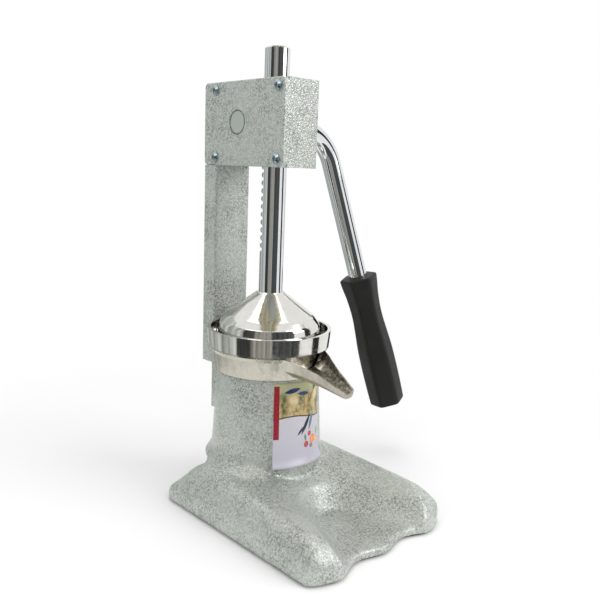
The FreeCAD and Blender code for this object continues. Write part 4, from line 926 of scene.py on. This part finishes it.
def turned_grid(azimuths, profile):
    """Points of a profile of distances and heights, turned round the press between two azimuths.

    Azimuth 0 is the camera's side, and it grows towards the camera's right.
    """
    turn = np.radians(np.linspace(azimuths[0], azimuths[1], 9) - CAMERA_YAW)[None, :]
    distance, level = (np.array(values)[:, None] for values in zip(*profile))
    return np.stack(np.broadcast_arrays(distance * np.sin(turn), -distance * np.cos(turn), level), axis=-1)


def level_grid(half_across, half_deep, level):
    """Points of a level rectangle over the press, square to the camera's heading."""
    heading = math.radians(CAMERA_YAW)
    across, deep = np.meshgrid(np.linspace(-half_across, half_across, 5), np.linspace(-half_deep, half_deep, 5))
    x = across * math.cos(heading) + deep * math.sin(heading)
    y = -across * math.sin(heading) + deep * math.cos(heading)
    return np.stack([x, y, np.full_like(x, level)], axis=-1)


def add_card(name, grid, tone):
    """Card that only bright metal sees."""
    card = surface_mesh(name, grid, uv_name="Card")
    card.data.materials.append(card_material(name, tone))
    card.visible_camera = False
    card.visible_diffuse = False
    card.visible_shadow = False


class PRESS_OT_studio(bpy.types.Operator):
    """Pale floor, soft lamps, reflection cards and the photograph's camera"""

    bl_idname = "press.studio"
    bl_label = "Studio"

    def execute(self, context):
        settings = context.scene.press
        self.floor(settings)
        self.world()
        for lamp in LAMPS:
            add_softbox(*lamp)
        for azimuths, tone in CARDS:
            add_card("Card %d" % azimuths[0], turned_grid(azimuths, CARD_PROFILE), tone)
        add_card("High card", level_grid(*HIGH_CARD), HIGH_CARD_TONE)
        add_camera()
        context.scene.view_settings.view_transform = "Standard"
        return {"FINISHED"}

    def floor(self, settings):
        """Floor that takes the shadow near the press and runs out into the white background."""
        side = np.linspace(-FLOOR_HALF, FLOOR_HALF, 9)
        x, y = np.meshgrid(side, side)
        piece = surface_mesh("Floor", np.stack([x, y, np.zeros_like(x)], axis=-1))
        material, tree, shader, place = new_material("Floor")
        shader.inputs["Base Color"].default_value = tuple(settings.floor_tone) + (1.0,)
        shader.inputs["Roughness"].default_value = 0.9
        distance = add_node(tree, "ShaderNodeVectorMath", {"operation": "LENGTH"}, at0=place).outputs["Value"]
        far = remap(tree, distance, *FLOOR_FADE)
        seen = add_node(tree, "ShaderNodeLightPath")
        straight = compute(tree, "ADD", seen.outputs["Is Camera Ray"], seen.outputs["Is Glossy Ray"], clamp=True)
        share = compute(tree, "MULTIPLY", far, straight)
        white = add_node(tree, "ShaderNodeEmission", Color=(1.0, 1.0, 1.0, 1.0), Strength=1.0)
        mixed = add_node(tree, "ShaderNodeMixShader", at0=share, at1=shader.outputs[0], at2=white.outputs[0])
        output = next(node for node in tree.nodes if node.type == "OUTPUT_MATERIAL")
        tree.links.new(mixed.outputs[0], output.inputs["Surface"])
        piece.data.materials.append(material)

    def world(self):
        """White for the camera and for reflections, and a plain level of light for the rest."""
        world = bpy.data.worlds.new("Studio")
        bpy.context.scene.world = world
        world.use_nodes = True
        tree = world.node_tree
        tree.nodes.clear()
        seen = add_node(tree, "ShaderNodeLightPath")
        rays = compute(tree, "ADD", seen.outputs["Is Camera Ray"], seen.outputs["Is Glossy Ray"], clamp=True)
        rays = compute(tree, "ADD", rays, seen.outputs["Is Transmission Ray"], clamp=True)
        strength = remap(tree, rays, 0.0, 1.0, ROOM_LIGHT, 1.0, smooth=False)
        sky = add_node(tree, "ShaderNodeBackground", Color=(1.0, 1.0, 1.0, 1.0), Strength=strength)
        output = tree.nodes.new("ShaderNodeOutputWorld")
        tree.links.new(sky.outputs[0], output.inputs["Surface"])


OPERATORS = (PRESS_OT_castings, PRESS_OT_drive, PRESS_OT_cups, PRESS_OT_grip, PRESS_OT_fixings, PRESS_OT_label,
             PRESS_OT_studio)


class PRESS_PT_parts(bpy.types.Panel):
    """Sidebar panel that lists the press's pieces and settings"""

    bl_idname = "PRESS_PT_parts"
    bl_label = "Citrus press"
    bl_space_type = "VIEW_3D"
    bl_region_type = "UI"
    bl_category = "Citrus press"

    def draw(self, context):
        column = self.layout.column()
        for name in PressSettings.__annotations__:
            column.prop(context.scene.press, name)
        for operator in OPERATORS:
            column.operator(operator.bl_idname)


CLASSES = (PressSettings, *OPERATORS, PRESS_PT_parts)


def register():
    """Add the settings, the operators and the panel."""
    for item in CLASSES:
        bpy.utils.register_class(item)
    bpy.types.Scene.press = bpy.props.PointerProperty(type=PressSettings)


def unregister():
    """Take the settings, the operators and the panel away."""
    del bpy.types.Scene.press
    for item in reversed(CLASSES):
        bpy.utils.unregister_class(item)


def main():
    """Register the add-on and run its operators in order."""
    register()
    bpy.ops.press.castings()
    bpy.ops.press.drive()
    bpy.ops.press.cups()
    bpy.ops.press.grip()
    bpy.ops.press.fixings()
    bpy.ops.press.label()
    bpy.ops.press.studio()


if __name__ == "__main__":
    main()
